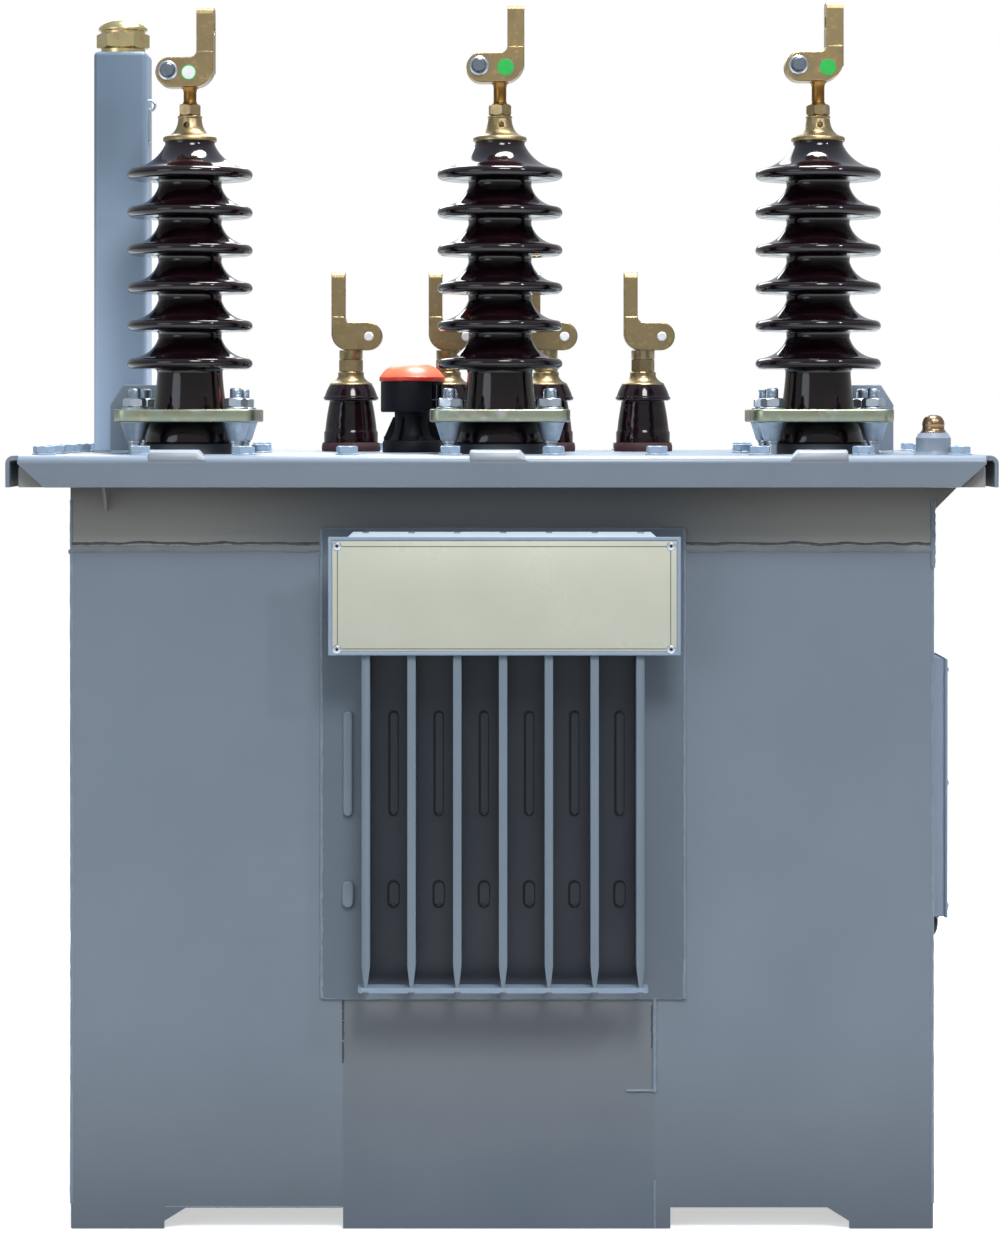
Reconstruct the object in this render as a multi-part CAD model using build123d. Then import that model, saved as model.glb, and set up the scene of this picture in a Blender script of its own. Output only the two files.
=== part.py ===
from build123d import *
import os

# A small three-phase, oil-filled distribution transformer: a welded tank with
# finned panels front and rear, a bolted lid, three tall high-voltage bushings in
# front and four short low-voltage bushings behind them.
# Millimetres. +X runs to the right of the front, +Y to the rear, +Z up.
# The origin is on the ground, under the middle of the tank.

os.makedirs("parts", exist_ok=True)

# Tank
tank_length = 820.0
tank_depth = 440.0
wall = 4.0
corner_radius = 3.0
lid_top = 735.0
collar_bottom = 644.0
floor_height = 40.0
floor_plate = 5.0

# Seams of the front wall and the cut-outs along its foot
centre_plate_left = 151.0
centre_plate_right = 145.0
centre_foot_step = 15.0
foot_cut_length = 170.0
foot_cut_height = 20.0
foot_cut_side = 7.0
foot_cut_slope = 21.0

# Rim of the tank and the lid
rim_overhang = 43.0
rim_lip_height = 22.0
rim_bend_radius = 5.0
gasket = 4.0
gasket_width = 36.0
lid_plate = 4.0
lid_rim_gap = 8.0
lid_bend_radius = 8.0
lid_flange_height = 30.0
lid_corner_relief = 12.5

# Gussets under the rim
gusset_reach = 24.0
gusset_plate = 3.0
front_gusset_inset = 34.0
side_gusset_inset = 6.0

# Finned panel
panel_length = 344.0
panel_bottom = 219.0
panel_top = 664.5
panel_sheet = 2.5
panel_lap = 22.0
fin_count = 7
fin_pitch = 42.9
fin_row_x = 1.0
fin_depth = 42.5
fin_width = 8.0
fin_sheet = 1.5
fin_pinch_width = 3.0
fin_pinch_height = 21.0
fin_edge_radius = 1.2
fin_bottom = 236.3
fin_top = 656.0
fin_bar_depth = 20.0
fin_bar_thickness = 5.0
fin_bar_length = 272.0
fin_bar_chamfer = 3.0
pressing_offset = -18.3
pressing_rise = 1.5
long_pressing_z = 442.0
long_pressing_length = 100.0
long_pressing_width = 9.5
short_pressing_z = 318.0
short_pressing_length = 26.0
short_pressing_width = 11.5

# Nameplate
nameplate_length = 330.0
nameplate_height = 111.0
nameplate_x = 2.3
nameplate_top = 658.8
nameplate_depth = 4.0
nameplate_border = 3.5
nameplate_recess = 1.5
nameplate_sheet = 1.2
nameplate_clearance = 0.4

# High-voltage bushings
hv_x = (-307.0, -2.0, 311.0)
hv_row_inset = 111.0
hv_seat_radius = 46.0
hv_seat_height = 10.0
hv_base_radius = 44.0
hv_shoulder_radius = 38.5
hv_shoulder_height = 31.0
hv_stem_low_radius = 35.5
hv_stem_high_radius = 32.0
hv_core_radius = 31.0
hv_shed_radius = 61.5
hv_shed_count = 6
hv_shed_pitch = 37.2
hv_first_shed = 88.3
hv_rim_thickness = 10.4
hv_neck_radius = 24.4
hv_neck_straight = 3.0
hv_top = 306.6
hv_foot_bulge = 1.0
hv_core_step = 2.0
hv_stem_gap = 3.0
hv_back_rise = 20.0
hv_back_gap = 3.0
hv_back_bend = (0.34, 0.36)
hv_top_bend = (0.38, 0.37)

# Clamp ring of a high-voltage bushing, its studs and nuts
ring_side = 136.0
ring_corner_radius = 12.0
ring_thickness = 12.5
ring_bore_clearance = 0.5
stud_spacing = 98.0
stud_radius = 6.0
stud_hole_clearance = 0.4
stud_above_ring = 20.5
stud_tip_chamfer = 1.0
stud_neck_radius = 5.0
stud_neck_height = 13.0
stud_cone_low_radius = 8.4
stud_cone_high_radius = 13.8
clamp_nut_flats = 20.0
clamp_nut_height = 9.0

# Metal cap of a high-voltage bushing
cap_rim_radius = 26.3
cap_rim_height = 4.6
cap_throat_radius = 11.6
cap_height = 22.3
cap_hollow = 0.7
cap_collar_radius = 12.0
cap_collar_height = 3.0
cap_nut_flats = 20.5
cap_nut_height = 11.4
cap_hole_radius = 3.0
cap_hole_height = 16.0
hv_stem_radius = 6.0
hv_stem_length = 16.5
hv_terminal_lift = (0.0, 4.6, 5.6)

# Terminal clamp with its upright cable bar
terminal_left = 33.0
terminal_right = 24.0
terminal_height = 29.5
terminal_depth = 26.0
terminal_corner_radius = 20.0
terminal_bar_fillet = 6.0
terminal_bar_width = 16.7
terminal_bar_height = 48.5
terminal_bar_depth = 30.0
terminal_bar_corner = 7.0
terminal_hole_radius = 6.5
terminal_hole_drop = 20.0

# Tabs on the front edge of the lid
tab_x = (-302.8, -2.3, 295.8)
tab_length = 55.0
tab_depth = 15.0
tab_rise = 5.3
tab_drop = 6.0
tab_chamfer = 5.0
seat_clearance = 0.3

# Low-voltage bushings
lv_x = (-158.5, -56.7, 46.2, 148.0)
lv_row_inset = 114.0
lv_gasket_radius = 30.2
lv_gasket_height = 9.4
lv_band_radius = 28.2
lv_band_height = 12.0
lv_band_chamfer = 1.5
lv_cone_low_radius = 27.3
lv_cone_high_radius = 22.4
lv_cone_height = 30.8
lv_shed_radius = 28.9
lv_shed_height = 16.8
lv_shed_bulge = 2.0
lv_cap_low_radius = 22.5
lv_cap_high_radius = 13.0
lv_cap_height = 8.0
lv_cap_rim = 2.0
lv_collar_radius = 13.5
lv_collar_height = 6.3
lv_nut_flats = 23.0
lv_nut_height = 13.0
lv_stem_radius = 11.5
lv_stem_length = 22.6
lv_terminal_right = 20.0
lv_terminal_corner_radius = 14.0
lv_bar_width = 14.0
lv_bar_height = 52.4

# Relief valve
valve_x = -91.8
valve_y = 10.0
valve_base_radius = 30.0
valve_base_height = 13.0
valve_neck_radius = 17.8
valve_neck_height = 41.0
valve_head_radius = 32.8
valve_head_height = 31.0
valve_head_chamfer = 1.5
valve_waist_hollow = 0.7
valve_cap_radius = 33.3
valve_cap_skirt = 7.0
valve_cap_height = 17.4

# Filler tube and its cap
filler_side = 54.0
filler_wall = 3.0
filler_corner_radius = 4.0
filler_inset = 22.0
filler_lug_clearance = 5.0
filler_height = 407.8
filler_hex_flats = 47.0
filler_hex_height = 21.0
filler_dome_radius = 25.0
filler_dome_height = 16.2
filler_dome_shoulder = 11.0

# Lifting lugs
lug_inset = 14.0
lug_length = 102.0
lug_height = 68.6
lug_plate = 10.0
lug_behind_row = 94.0
lug_chamfer_length = 12.7
lug_chamfer_height = 20.3
lug_eye_radius = 14.0
lug_eye_height = 36.0

# Thermometer pocket on the lid
pocket_inset = 1.0
pocket_forward = 6.0
pocket_radius = 16.5
pocket_height = 21.0
plug_radius = 12.3
plug_skirt = 5.0
plug_height = 17.0

# Terminal box on the right side
side_box_y = -100.0
side_box_length = 80.0
side_box_depth = 24.5
side_box_bottom = 282.7
side_box_top = 543.0
side_box_roof_drop = 8.0
gland_radius = 8.0
gland_length = 22.0

# Planes and levels that the pieces share
front_face = -tank_depth / 2
side_face = tank_length / 2
hv_y = front_face + hv_row_inset
lv_y = -front_face - lv_row_inset
lug_outer_x = side_face - lug_inset
lug_y = hv_y + lug_behind_row
filler_front_y = lug_y + lug_plate / 2 + filler_lug_clearance
rim_top = lid_top - lid_plate - gasket
rim_outer_x = side_face + rim_overhang
rim_outer_y = tank_depth / 2 + rim_overhang
lid_outer_x = rim_outer_x + lid_rim_gap + lid_plate
lid_outer_y = rim_outer_y + lid_rim_gap + lid_plate
lid_bottom = lid_top - lid_flange_height
fin_tip = front_face - panel_sheet - fin_depth
panel_left = fin_row_x - panel_length / 2
panel_right = fin_row_x + panel_length / 2
ring_bottom = lid_top + hv_shoulder_height
ring_top = ring_bottom + ring_thickness
hv_cap_bottom = lid_top + hv_top
hv_stem_bottom = hv_cap_bottom + cap_height + cap_collar_height
hv_terminal_bottom = hv_stem_bottom + cap_nut_height + hv_stem_length
lv_cap_bottom = lid_top + lv_gasket_height + lv_band_height + lv_cone_height + lv_shed_height
lv_stem_bottom = lv_cap_bottom + lv_cap_height + lv_collar_height
lv_terminal_bottom = lv_stem_bottom + lv_stem_length


def block(x_low, x_high, y_low, y_high, z_low, z_high):
    """A box between two corners."""
    size = Box(x_high - x_low, y_high - y_low, z_high - z_low)
    return Pos((x_low + x_high) / 2, (y_low + y_high) / 2, (z_low + z_high) / 2) * size


def plate_across(points, y_low, y_high):
    """A plate that faces the front: an outline of X and Z, through Y."""
    plane = Plane(origin=(0, y_high, 0), x_dir=(1, 0, 0), z_dir=(0, -1, 0))
    outline = make_face(Polyline(*points, close=True))
    return extrude(plane * outline, amount=y_high - y_low)


def plan_prism(points, z_low, z_high):
    """A plan outline of X and Y, raised from one level to another."""
    outline = make_face(Polyline(*points, close=True))
    return extrude(Pos(0, 0, z_low) * outline, amount=z_high - z_low)


def turned(outline):
    """Turn an outline of radius and height round the Z axis."""
    return revolve(Plane.XZ * make_face(outline), axis=Axis.Z)


def dome_arc(radius, low, high):
    """Arc from a rim up to the Z axis, where it is level."""
    rise = high - low
    sphere = (radius**2 + rise**2) / (2 * rise)
    middle = radius / 2
    return ThreePointArc((radius, low), (middle, high - sphere + (sphere**2 - middle**2) ** 0.5), (0, high))


def cylinder(radius, z_low, z_high):
    """An upright cylinder on the Z axis."""
    return Pos(0, 0, (z_low + z_high) / 2) * Cylinder(radius, z_high - z_low)


def hexagon(flats, z_low, z_high):
    """An upright hexagonal nut on the Z axis, with a corner to each side."""
    outline = RegularPolygon(flats / 2, 6, major_radius=False)
    return extrude(Pos(0, 0, z_low) * outline, amount=z_high - z_low)


def to_rear(piece):
    """The same piece on the rear of the tank."""
    return mirror(piece, Plane.XZ)


def front_walls():
    """The three plates of the front wall, with the cut-outs along its foot."""
    inner = front_face + wall
    left_cut = -centre_plate_left - foot_cut_length
    right_cut = centre_plate_right + centre_foot_step
    left = plate_across(
        [
            (-side_face, 0),
            (left_cut, 0),
            (left_cut, foot_cut_side),
            (left_cut + foot_cut_slope, foot_cut_height),
            (-centre_plate_left, foot_cut_height),
            (-centre_plate_left, collar_bottom),
            (-side_face, collar_bottom),
        ],
        front_face,
        inner,
    )
    right = plate_across(
        [
            (centre_plate_right, 0),
            (right_cut, 0),
            (right_cut, foot_cut_height),
            (right_cut + foot_cut_length - foot_cut_slope, foot_cut_height),
            (right_cut + foot_cut_length, foot_cut_side),
            (right_cut + foot_cut_length, 0),
            (side_face, 0),
            (side_face, collar_bottom),
            (centre_plate_right, collar_bottom),
        ],
        front_face,
        inner,
    )
    lower = block(-centre_plate_left, centre_plate_right, front_face, inner, 0, panel_bottom + panel_lap)
    left = fillet(left.edges().filter_by(Axis.Z).group_by(Axis.X)[0].sort_by(Axis.Y)[0], corner_radius)
    right = fillet(right.edges().filter_by(Axis.Z).group_by(Axis.X)[-1].sort_by(Axis.Y)[0], corner_radius)
    return left, right, lower


def side_wall():
    """The right wall, between the front and rear walls."""
    inner = tank_depth / 2 - wall
    return block(side_face - wall, side_face, -inner, inner, 0, collar_bottom)


def collar_outline(face):
    """Section of the collar and its folded rim: distance out from the tank, and height."""
    lip_outer = face + rim_overhang
    lip_inner = lip_outer - wall
    lip_bottom = rim_top - rim_lip_height
    under = rim_top - wall
    section = make_face(
        Polyline(
            (face - wall, collar_bottom),
            (face, collar_bottom),
            (face, under),
            (lip_inner, under),
            (lip_inner, lip_bottom),
            (lip_outer, lip_bottom),
            (lip_outer, rim_top),
            (face - wall, rim_top),
            close=True,
        )
    )
    bend = [corner for corner in section.vertices() if corner.X > lip_outer - 0.1 and corner.Y > under]
    return fillet(bend, rim_bend_radius)


def collar_side(face, reach):
    """One side of the collar, mitred at both ends, on the +X side of the tank."""
    plane = Plane(origin=(0, reach, 0), x_dir=(1, 0, 0), z_dir=(0, -1, 0))
    strip = extrude(plane * collar_outline(face), amount=2 * reach)
    outer = face + rim_overhang
    inner = face - wall
    mitre = reach - rim_overhang - wall
    plan = plan_prism([(inner, -mitre), (outer, -reach), (outer, reach), (inner, mitre)], 0, lid_top)
    return strip & plan


def gusset(face, place):
    """A triangular plate under the rim, on the +X side of the tank."""
    under = rim_top - wall
    lip_bottom = rim_top - rim_lip_height
    lip_inner = face + rim_overhang - wall - seat_clearance
    outline = [
        (face, under),
        (lip_inner, under),
        (lip_inner, lip_bottom),
        (face + gusset_reach, lip_bottom),
        (face, lip_bottom - gusset_reach),
    ]
    return plate_across(outline, place - gusset_plate / 2, place + gusset_plate / 2)


def rim_gussets():
    """Four gussets: one on each side of the tank, the same after half a turn."""
    right = gusset(side_face, front_face + side_gusset_inset)
    front = Rot(0, 0, -90) * gusset(tank_depth / 2, front_gusset_inset - side_face)
    half_turn = Rot(0, 0, 180)
    return [right, front, half_turn * right, half_turn * front]


def fin_centres():
    """Places of the fins along the panel."""
    first = fin_row_x - (fin_count - 1) / 2 * fin_pitch
    return [first + number * fin_pitch for number in range(fin_count)]


def fin(x):
    """One folded fin, pinched shut at both ends."""
    half = fin_width / 2
    pinch = fin_pinch_width / 2
    outline = [
        (x - pinch, fin_bottom),
        (x + pinch, fin_bottom),
        (x + half, fin_bottom + fin_pinch_height),
        (x + half, fin_top - fin_pinch_height),
        (x + pinch, fin_top),
        (x - pinch, fin_top),
        (x - half, fin_top - fin_pinch_height),
        (x - half, fin_bottom + fin_pinch_height),
    ]
    body = plate_across(outline, fin_tip, front_face - panel_sheet)
    long_edges = body.faces().sort_by(Axis.Y)[0].edges().filter_by(Axis.Z)
    return fillet(long_edges, fin_edge_radius)


def pressing(x, z, length, width):
    """A raised oval pressed in the sheet between two fins."""
    oval = SlotOverall(length, width, rotation=90)
    plane = Plane(origin=(x, front_face - panel_sheet, z), x_dir=(1, 0, 0), z_dir=(0, -1, 0))
    return extrude(plane * oval, amount=pressing_rise)


def fin_panel():
    """The finned panel: one folded sheet, its fins hollow and open to the tank."""
    sheet_front = front_face - panel_sheet
    panel = block(panel_left, panel_right, sheet_front, front_face, panel_bottom, panel_top)
    hollow = fin_width / 2 - fin_sheet
    for x in fin_centres():
        panel += fin(x)
        panel += pressing(x + pressing_offset, long_pressing_z, long_pressing_length, long_pressing_width)
        panel += pressing(x + pressing_offset, short_pressing_z, short_pressing_length, short_pressing_width)
    for x in fin_centres():
        panel -= block(
            x - hollow,
            x + hollow,
            fin_tip + fin_sheet,
            front_face + 1,
            fin_bottom + fin_pinch_height,
            fin_top - fin_pinch_height,
        )
    return panel


def fin_bars():
    """The two flat bars that hold the ends of the fins together."""
    bars = []
    for low in (fin_bottom - fin_bar_thickness, fin_top):
        left = fin_row_x - fin_bar_length / 2
        right = fin_row_x + fin_bar_length / 2
        bar = block(left, right, fin_tip, fin_tip + fin_bar_depth, low, low + fin_bar_thickness)
        front_ends = bar.edges().filter_by(Axis.Z).group_by(Axis.Y)[0]
        bars.append(chamfer(front_ends, fin_bar_chamfer))
    return bars


def nameplate():
    """The holder on the fins and the bare plate in its recess."""
    left = nameplate_x - nameplate_length / 2
    right = nameplate_x + nameplate_length / 2
    bottom = nameplate_top - nameplate_height
    front = fin_tip - nameplate_depth
    back = front + nameplate_recess
    edge = nameplate_border
    holder = block(left, right, front, fin_tip, bottom, nameplate_top)
    holder -= block(left + edge, right - edge, front - 1, back, bottom + edge, nameplate_top - edge)
    edge += nameplate_clearance
    face = block(left + edge, right - edge, back - nameplate_sheet, back, bottom + edge, nameplate_top - edge)
    return holder, face


def lid_flange_relief(reach, depth):
    """The corner wedge that is cut from a flange, seen along the flange's thickness."""
    top = lid_top - lid_plate
    start = reach - lid_corner_relief
    outline = [
        (start, top),
        (reach + 1, top),
        (reach + 1, lid_bottom - 1),
        (start - (top - lid_bottom) - 1, lid_bottom - 1),
    ]
    return plate_across(outline, -depth - 1, -depth + lid_plate + lid_bend_radius)


def lid_body():
    """The lid: one sheet with its edges folded down and its corners cut open."""
    outer = block(-lid_outer_x, lid_outer_x, -lid_outer_y, lid_outer_y, lid_bottom, lid_top)
    outer = fillet(outer.faces().sort_by(Axis.Z)[-1].edges(), lid_bend_radius)
    in_x = lid_outer_x - lid_plate
    in_y = lid_outer_y - lid_plate
    inner = block(-in_x, in_x, -in_y, in_y, lid_bottom - 1, lid_top - lid_plate)
    inner = fillet(inner.faces().sort_by(Axis.Z)[-1].edges(), lid_bend_radius - lid_plate)
    body = outer - inner
    front = lid_flange_relief(lid_outer_x, lid_outer_y)
    side = Rot(0, 0, 90) * lid_flange_relief(lid_outer_y, lid_outer_x)
    for wedge in (front, side):
        for part in (wedge, mirror(wedge, Plane.YZ)):
            body -= part
            body -= mirror(part, Plane.XZ)
    return body


def lid_seal():
    """The flat gasket between the rim and the lid."""
    out_x = rim_outer_x - wall
    out_y = rim_outer_y - wall
    ring = block(-out_x, out_x, -out_y, out_y, rim_top, rim_top + gasket)
    in_x = out_x - gasket_width
    in_y = out_y - gasket_width
    return ring - block(-in_x, in_x, -in_y, in_y, rim_top - 1, rim_top + gasket + 1)


def shed_outline(level, floor):
    """Half section of one shed: from the stem below it, round its rim, to the stem above."""
    half = hv_rim_thickness / 2
    rim_centre = hv_shed_radius - half
    low = level - half
    core = hv_core_radius
    return [
        Line((core, floor), (core, low - hv_core_step)),
        Line((core, low - hv_core_step), (core + hv_core_step, low)),
        Line((core + hv_core_step, low), (rim_centre, low)),
        ThreePointArc((rim_centre, low), (hv_shed_radius, level), (rim_centre, level + half)),
    ]


def shed_back(level, top_radius, straight, top, bend):
    """The hollow back of a shed, up to a straight stem."""
    low = level + hv_rim_thickness / 2
    reach = hv_shed_radius - hv_rim_thickness / 2 - top_radius
    middle = (top_radius + bend[0] * reach, low + bend[1] * (straight - low))
    return [
        ThreePointArc((top_radius + reach, low), middle, (top_radius, straight)),
        Line((top_radius, straight), (top_radius, top)),
    ]


def hv_porcelain():
    """One high-voltage bushing: a foot, a tapered stem, six sheds and a neck."""
    base = lid_top + hv_seat_height
    sheds = [lid_top + hv_first_shed + number * hv_shed_pitch for number in range(hv_shed_count)]
    half = hv_rim_thickness / 2
    stem_top = sheds[0] - half - hv_stem_gap
    bulge = ((hv_base_radius + hv_shoulder_radius) / 2 + hv_foot_bulge, (base + ring_bottom) / 2)
    outline = [
        Line((0, base), (hv_base_radius, base)),
        ThreePointArc((hv_base_radius, base), bulge, (hv_shoulder_radius, ring_bottom)),
        Line((hv_shoulder_radius, ring_bottom), (hv_stem_low_radius, ring_bottom)),
        Line((hv_stem_low_radius, ring_bottom), (hv_stem_low_radius, ring_top)),
        Line((hv_stem_low_radius, ring_top), (hv_stem_high_radius, stem_top)),
        Line((hv_stem_high_radius, stem_top), (hv_core_radius, stem_top)),
    ]
    floor = stem_top
    for level in sheds[:-1]:
        outline += shed_outline(level, floor)
        floor = level + hv_shed_pitch - half - hv_back_gap
        outline += shed_back(level, hv_core_radius, level + half + hv_back_rise, floor, hv_back_bend)
    outline += shed_outline(sheds[-1], floor)
    straight = hv_cap_bottom - hv_neck_straight
    outline += shed_back(sheds[-1], hv_neck_radius, straight, hv_cap_bottom, hv_top_bend)
    outline += [
        Line((hv_neck_radius, hv_cap_bottom), (0, hv_cap_bottom)),
        Line((0, hv_cap_bottom), (0, base)),
    ]
    return turned(outline)


def clamp_ring():
    """The square plate that presses a high-voltage bushing onto the lid."""
    plan = RectangleRounded(ring_side, ring_side, ring_corner_radius)
    plan -= Circle(hv_stem_low_radius + ring_bore_clearance)
    plan -= GridLocations(stud_spacing, stud_spacing, 2, 2) * Circle(stud_radius + stud_hole_clearance)
    return extrude(Pos(0, 0, ring_bottom) * plan, amount=ring_thickness)


def clamp_stud():
    """One clamp stud: a neck on the lid, a conical foot under the ring, and a nut on it."""
    neck_top = lid_top + stud_neck_height
    tip = ring_top + stud_above_ring
    outline = Polyline(
        (0, lid_top),
        (stud_neck_radius, lid_top),
        (stud_neck_radius, neck_top),
        (stud_cone_low_radius, neck_top),
        (stud_cone_high_radius, ring_bottom),
        (stud_radius, ring_bottom),
        (stud_radius, tip - stud_tip_chamfer),
        (stud_radius - stud_tip_chamfer, tip),
        (0, tip),
        close=True,
    )
    return turned(outline) + hexagon(clamp_nut_flats, ring_top, ring_top + clamp_nut_height)


def clamp_studs():
    """The four studs round one bushing."""
    half = stud_spacing / 2
    return [Pos(x, y, 0) * clamp_stud() for x in (-half, half) for y in (-half, half)]


def hv_cap():
    """The trumpet-shaped metal cap on a bushing, with its collar, nut and stem."""
    rim_top_level = hv_cap_bottom + cap_rim_height
    throat = hv_cap_bottom + cap_height
    hollow = (
        cap_rim_radius + cap_hollow * (cap_throat_radius - cap_rim_radius),
        throat + cap_hollow * (rim_top_level - throat),
    )
    outline = [
        Line((0, hv_cap_bottom), (cap_rim_radius, hv_cap_bottom)),
        Line((cap_rim_radius, hv_cap_bottom), (cap_rim_radius, rim_top_level)),
        ThreePointArc((cap_rim_radius, rim_top_level), hollow, (cap_throat_radius, throat)),
        Line((cap_throat_radius, throat), (cap_collar_radius, throat)),
        Line((cap_collar_radius, throat), (cap_collar_radius, hv_stem_bottom)),
        Line((cap_collar_radius, hv_stem_bottom), (0, hv_stem_bottom)),
        Line((0, hv_stem_bottom), (0, hv_cap_bottom)),
    ]
    cap = turned(outline)
    hole = Rot(90, 0, 0) * Cylinder(cap_hole_radius, cap_throat_radius)
    cap -= Pos(0, -cap_throat_radius, hv_cap_bottom + cap_hole_height) * hole
    return cap + hexagon(cap_nut_flats, hv_stem_bottom, hv_stem_bottom + cap_nut_height)


def hv_cap_at(number):
    """The cap of one bushing, with a stem as long as its terminal stands high."""
    stem_low = hv_stem_bottom + cap_nut_height
    stem = cylinder(hv_stem_radius, stem_low, hv_terminal_bottom + hv_terminal_lift[number])
    return Pos(hv_x[number], hv_y, 0) * (hv_cap() + stem)


def terminal(right, turn, bar_width, bar_height):
    """A brass clamp on the stem at the origin, with an upright bar for the cable."""
    end = terminal_height / 2
    bar_left = right - bar_width
    bar_top = terminal_height + bar_height
    bar_foot = terminal_height + terminal_bar_fillet
    fillet_end = bar_left - terminal_bar_fillet
    round_start = end - terminal_left
    outline = [
        Line((round_start, 0), (right - turn, 0)),
        RadiusArc((right - turn, 0), (right, turn), -turn),
        Line((right, turn), (right, bar_foot)),
        Line((right, bar_foot), (bar_left, bar_foot)),
        RadiusArc((bar_left, bar_foot), (fillet_end, terminal_height), terminal_bar_fillet),
        Line((fillet_end, terminal_height), (round_start, terminal_height)),
        ThreePointArc((round_start, terminal_height), (-terminal_left, end), (round_start, 0)),
    ]
    half = terminal_depth / 2
    plane = Plane(origin=(0, half, 0), x_dir=(1, 0, 0), z_dir=(0, -1, 0))
    body = extrude(plane * make_face(outline), amount=terminal_depth)
    half_bar = terminal_bar_depth / 2
    bar = block(bar_left, right, -half_bar, half_bar, terminal_height - end, bar_top)
    bar = fillet(bar.edges().filter_by(Axis.X).group_by(Axis.Z)[-1], terminal_bar_corner)
    hole = Rot(0, 90, 0) * Cylinder(terminal_hole_radius, 4 * bar_width)
    return body + bar - Pos(bar_left, 0, bar_top - terminal_hole_drop) * hole


def lid_edge_tab(x):
    """A chamfered tab that sits over the folded front edge of the lid."""
    half = tab_length / 2
    low = lid_top - tab_drop
    high = lid_top + tab_rise
    outline = [
        (x - half, low),
        (x + half, low),
        (x + half, high - tab_chamfer),
        (x + half - tab_chamfer, high),
        (x - half + tab_chamfer, high),
        (x - half, high - tab_chamfer),
    ]
    tab = plate_across(outline, -lid_outer_y, -lid_outer_y + tab_depth)
    edge = lid_bend_radius + seat_clearance
    hollow = block(x - half, x + half, -lid_outer_y + lid_bend_radius, -lid_outer_y + tab_depth, low, lid_top)
    bend = Pos(x, -lid_outer_y + lid_bend_radius, lid_top - lid_bend_radius) * Rot(0, 90, 0)
    return tab - hollow - bend * Cylinder(edge, tab_length)


def lv_porcelain():
    """One low-voltage bushing: a band, a tapered stem and one shed."""
    low = lid_top + lv_gasket_height
    band = low + lv_band_height
    shed = band + lv_cone_height
    edge = lv_shed_height / 3
    corner = lv_shed_radius - lv_shed_bulge
    outline = [
        Line((0, low), (lv_band_radius, low)),
        Line((lv_band_radius, low), (lv_band_radius, band - lv_band_chamfer)),
        Line((lv_band_radius, band - lv_band_chamfer), (lv_cone_low_radius, band)),
        Line((lv_cone_low_radius, band), (lv_cone_high_radius, shed)),
        Line((lv_cone_high_radius, shed), (corner, shed)),
        ThreePointArc((corner, shed), (lv_shed_radius, shed + edge), (corner, shed + 2 * edge)),
        Line((corner, shed + 2 * edge), (lv_cap_low_radius, lv_cap_bottom)),
        Line((lv_cap_low_radius, lv_cap_bottom), (0, lv_cap_bottom)),
        Line((0, lv_cap_bottom), (0, low)),
    ]
    return turned(outline)


def lv_cap():
    """The metal cap, collar, nut and stem on a low-voltage bushing."""
    shoulder = lv_cap_bottom + lv_cap_height
    outline = Polyline(
        (0, lv_cap_bottom),
        (lv_cap_low_radius, lv_cap_bottom),
        (lv_cap_low_radius, lv_cap_bottom + lv_cap_rim),
        (lv_cap_high_radius, shoulder),
        (lv_collar_radius, shoulder),
        (lv_collar_radius, lv_stem_bottom),
        (lv_stem_radius, lv_stem_bottom),
        (lv_stem_radius, lv_terminal_bottom),
        (0, lv_terminal_bottom),
        close=True,
    )
    return turned(outline) + hexagon(lv_nut_flats, lv_stem_bottom, lv_stem_bottom + lv_nut_height)


def relief_valve():
    """The pressure relief valve: its body and its domed cap."""
    base = lid_top + valve_base_height
    neck = lid_top + valve_neck_height
    head = neck + valve_head_height
    edge = valve_head_chamfer
    waist = valve_base_radius + valve_waist_hollow * (valve_neck_radius - valve_base_radius)
    body = turned(
        [
            Line((0, lid_top), (valve_base_radius, lid_top)),
            Line((valve_base_radius, lid_top), (valve_base_radius, base)),
            ThreePointArc((valve_base_radius, base), (waist, (base + neck) / 2), (valve_neck_radius, neck)),
            Line((valve_neck_radius, neck), (valve_head_radius - edge, neck)),
            Line((valve_head_radius - edge, neck), (valve_head_radius, neck + edge)),
            Line((valve_head_radius, neck + edge), (valve_head_radius, head)),
            Line((valve_head_radius, head), (0, head)),
            Line((0, head), (0, lid_top)),
        ]
    )
    cap_top = head + valve_cap_height
    skirt = head + valve_cap_skirt
    cap = turned(
        [
            Line((0, head), (valve_cap_radius, head)),
            Line((valve_cap_radius, head), (valve_cap_radius, skirt)),
            dome_arc(valve_cap_radius, skirt, cap_top),
            Line((0, cap_top), (0, head)),
        ]
    )
    place = Pos(valve_x, valve_y, 0)
    return place * body, place * cap


def filler():
    """The square filler tube, closed at its top, and the brass cap on it."""
    top = lid_top + filler_height
    outside = RectangleRounded(filler_side, filler_side, filler_corner_radius)
    inside = Rectangle(filler_side - 2 * filler_wall, filler_side - 2 * filler_wall)
    tube = extrude(Pos(0, 0, lid_top) * outside, amount=filler_height)
    tube -= extrude(Pos(0, 0, lid_top - 1) * inside, amount=filler_height + 1 - filler_wall)
    crown = top + filler_hex_height
    peak = crown + filler_dome_height
    turn = filler_dome_shoulder
    dome = turned(
        [
            Line((0, crown), (filler_dome_radius, crown)),
            Line((filler_dome_radius, crown), (filler_dome_radius, peak - turn)),
            RadiusArc((filler_dome_radius, peak - turn), (filler_dome_radius - turn, peak), -turn),
            Line((filler_dome_radius - turn, peak), (0, peak)),
            Line((0, peak), (0, crown)),
        ]
    )
    place = Pos(filler_inset - side_face, filler_front_y + filler_side / 2, 0)
    return place * tube, place * (hexagon(filler_hex_flats, top, crown) + dome)


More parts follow.
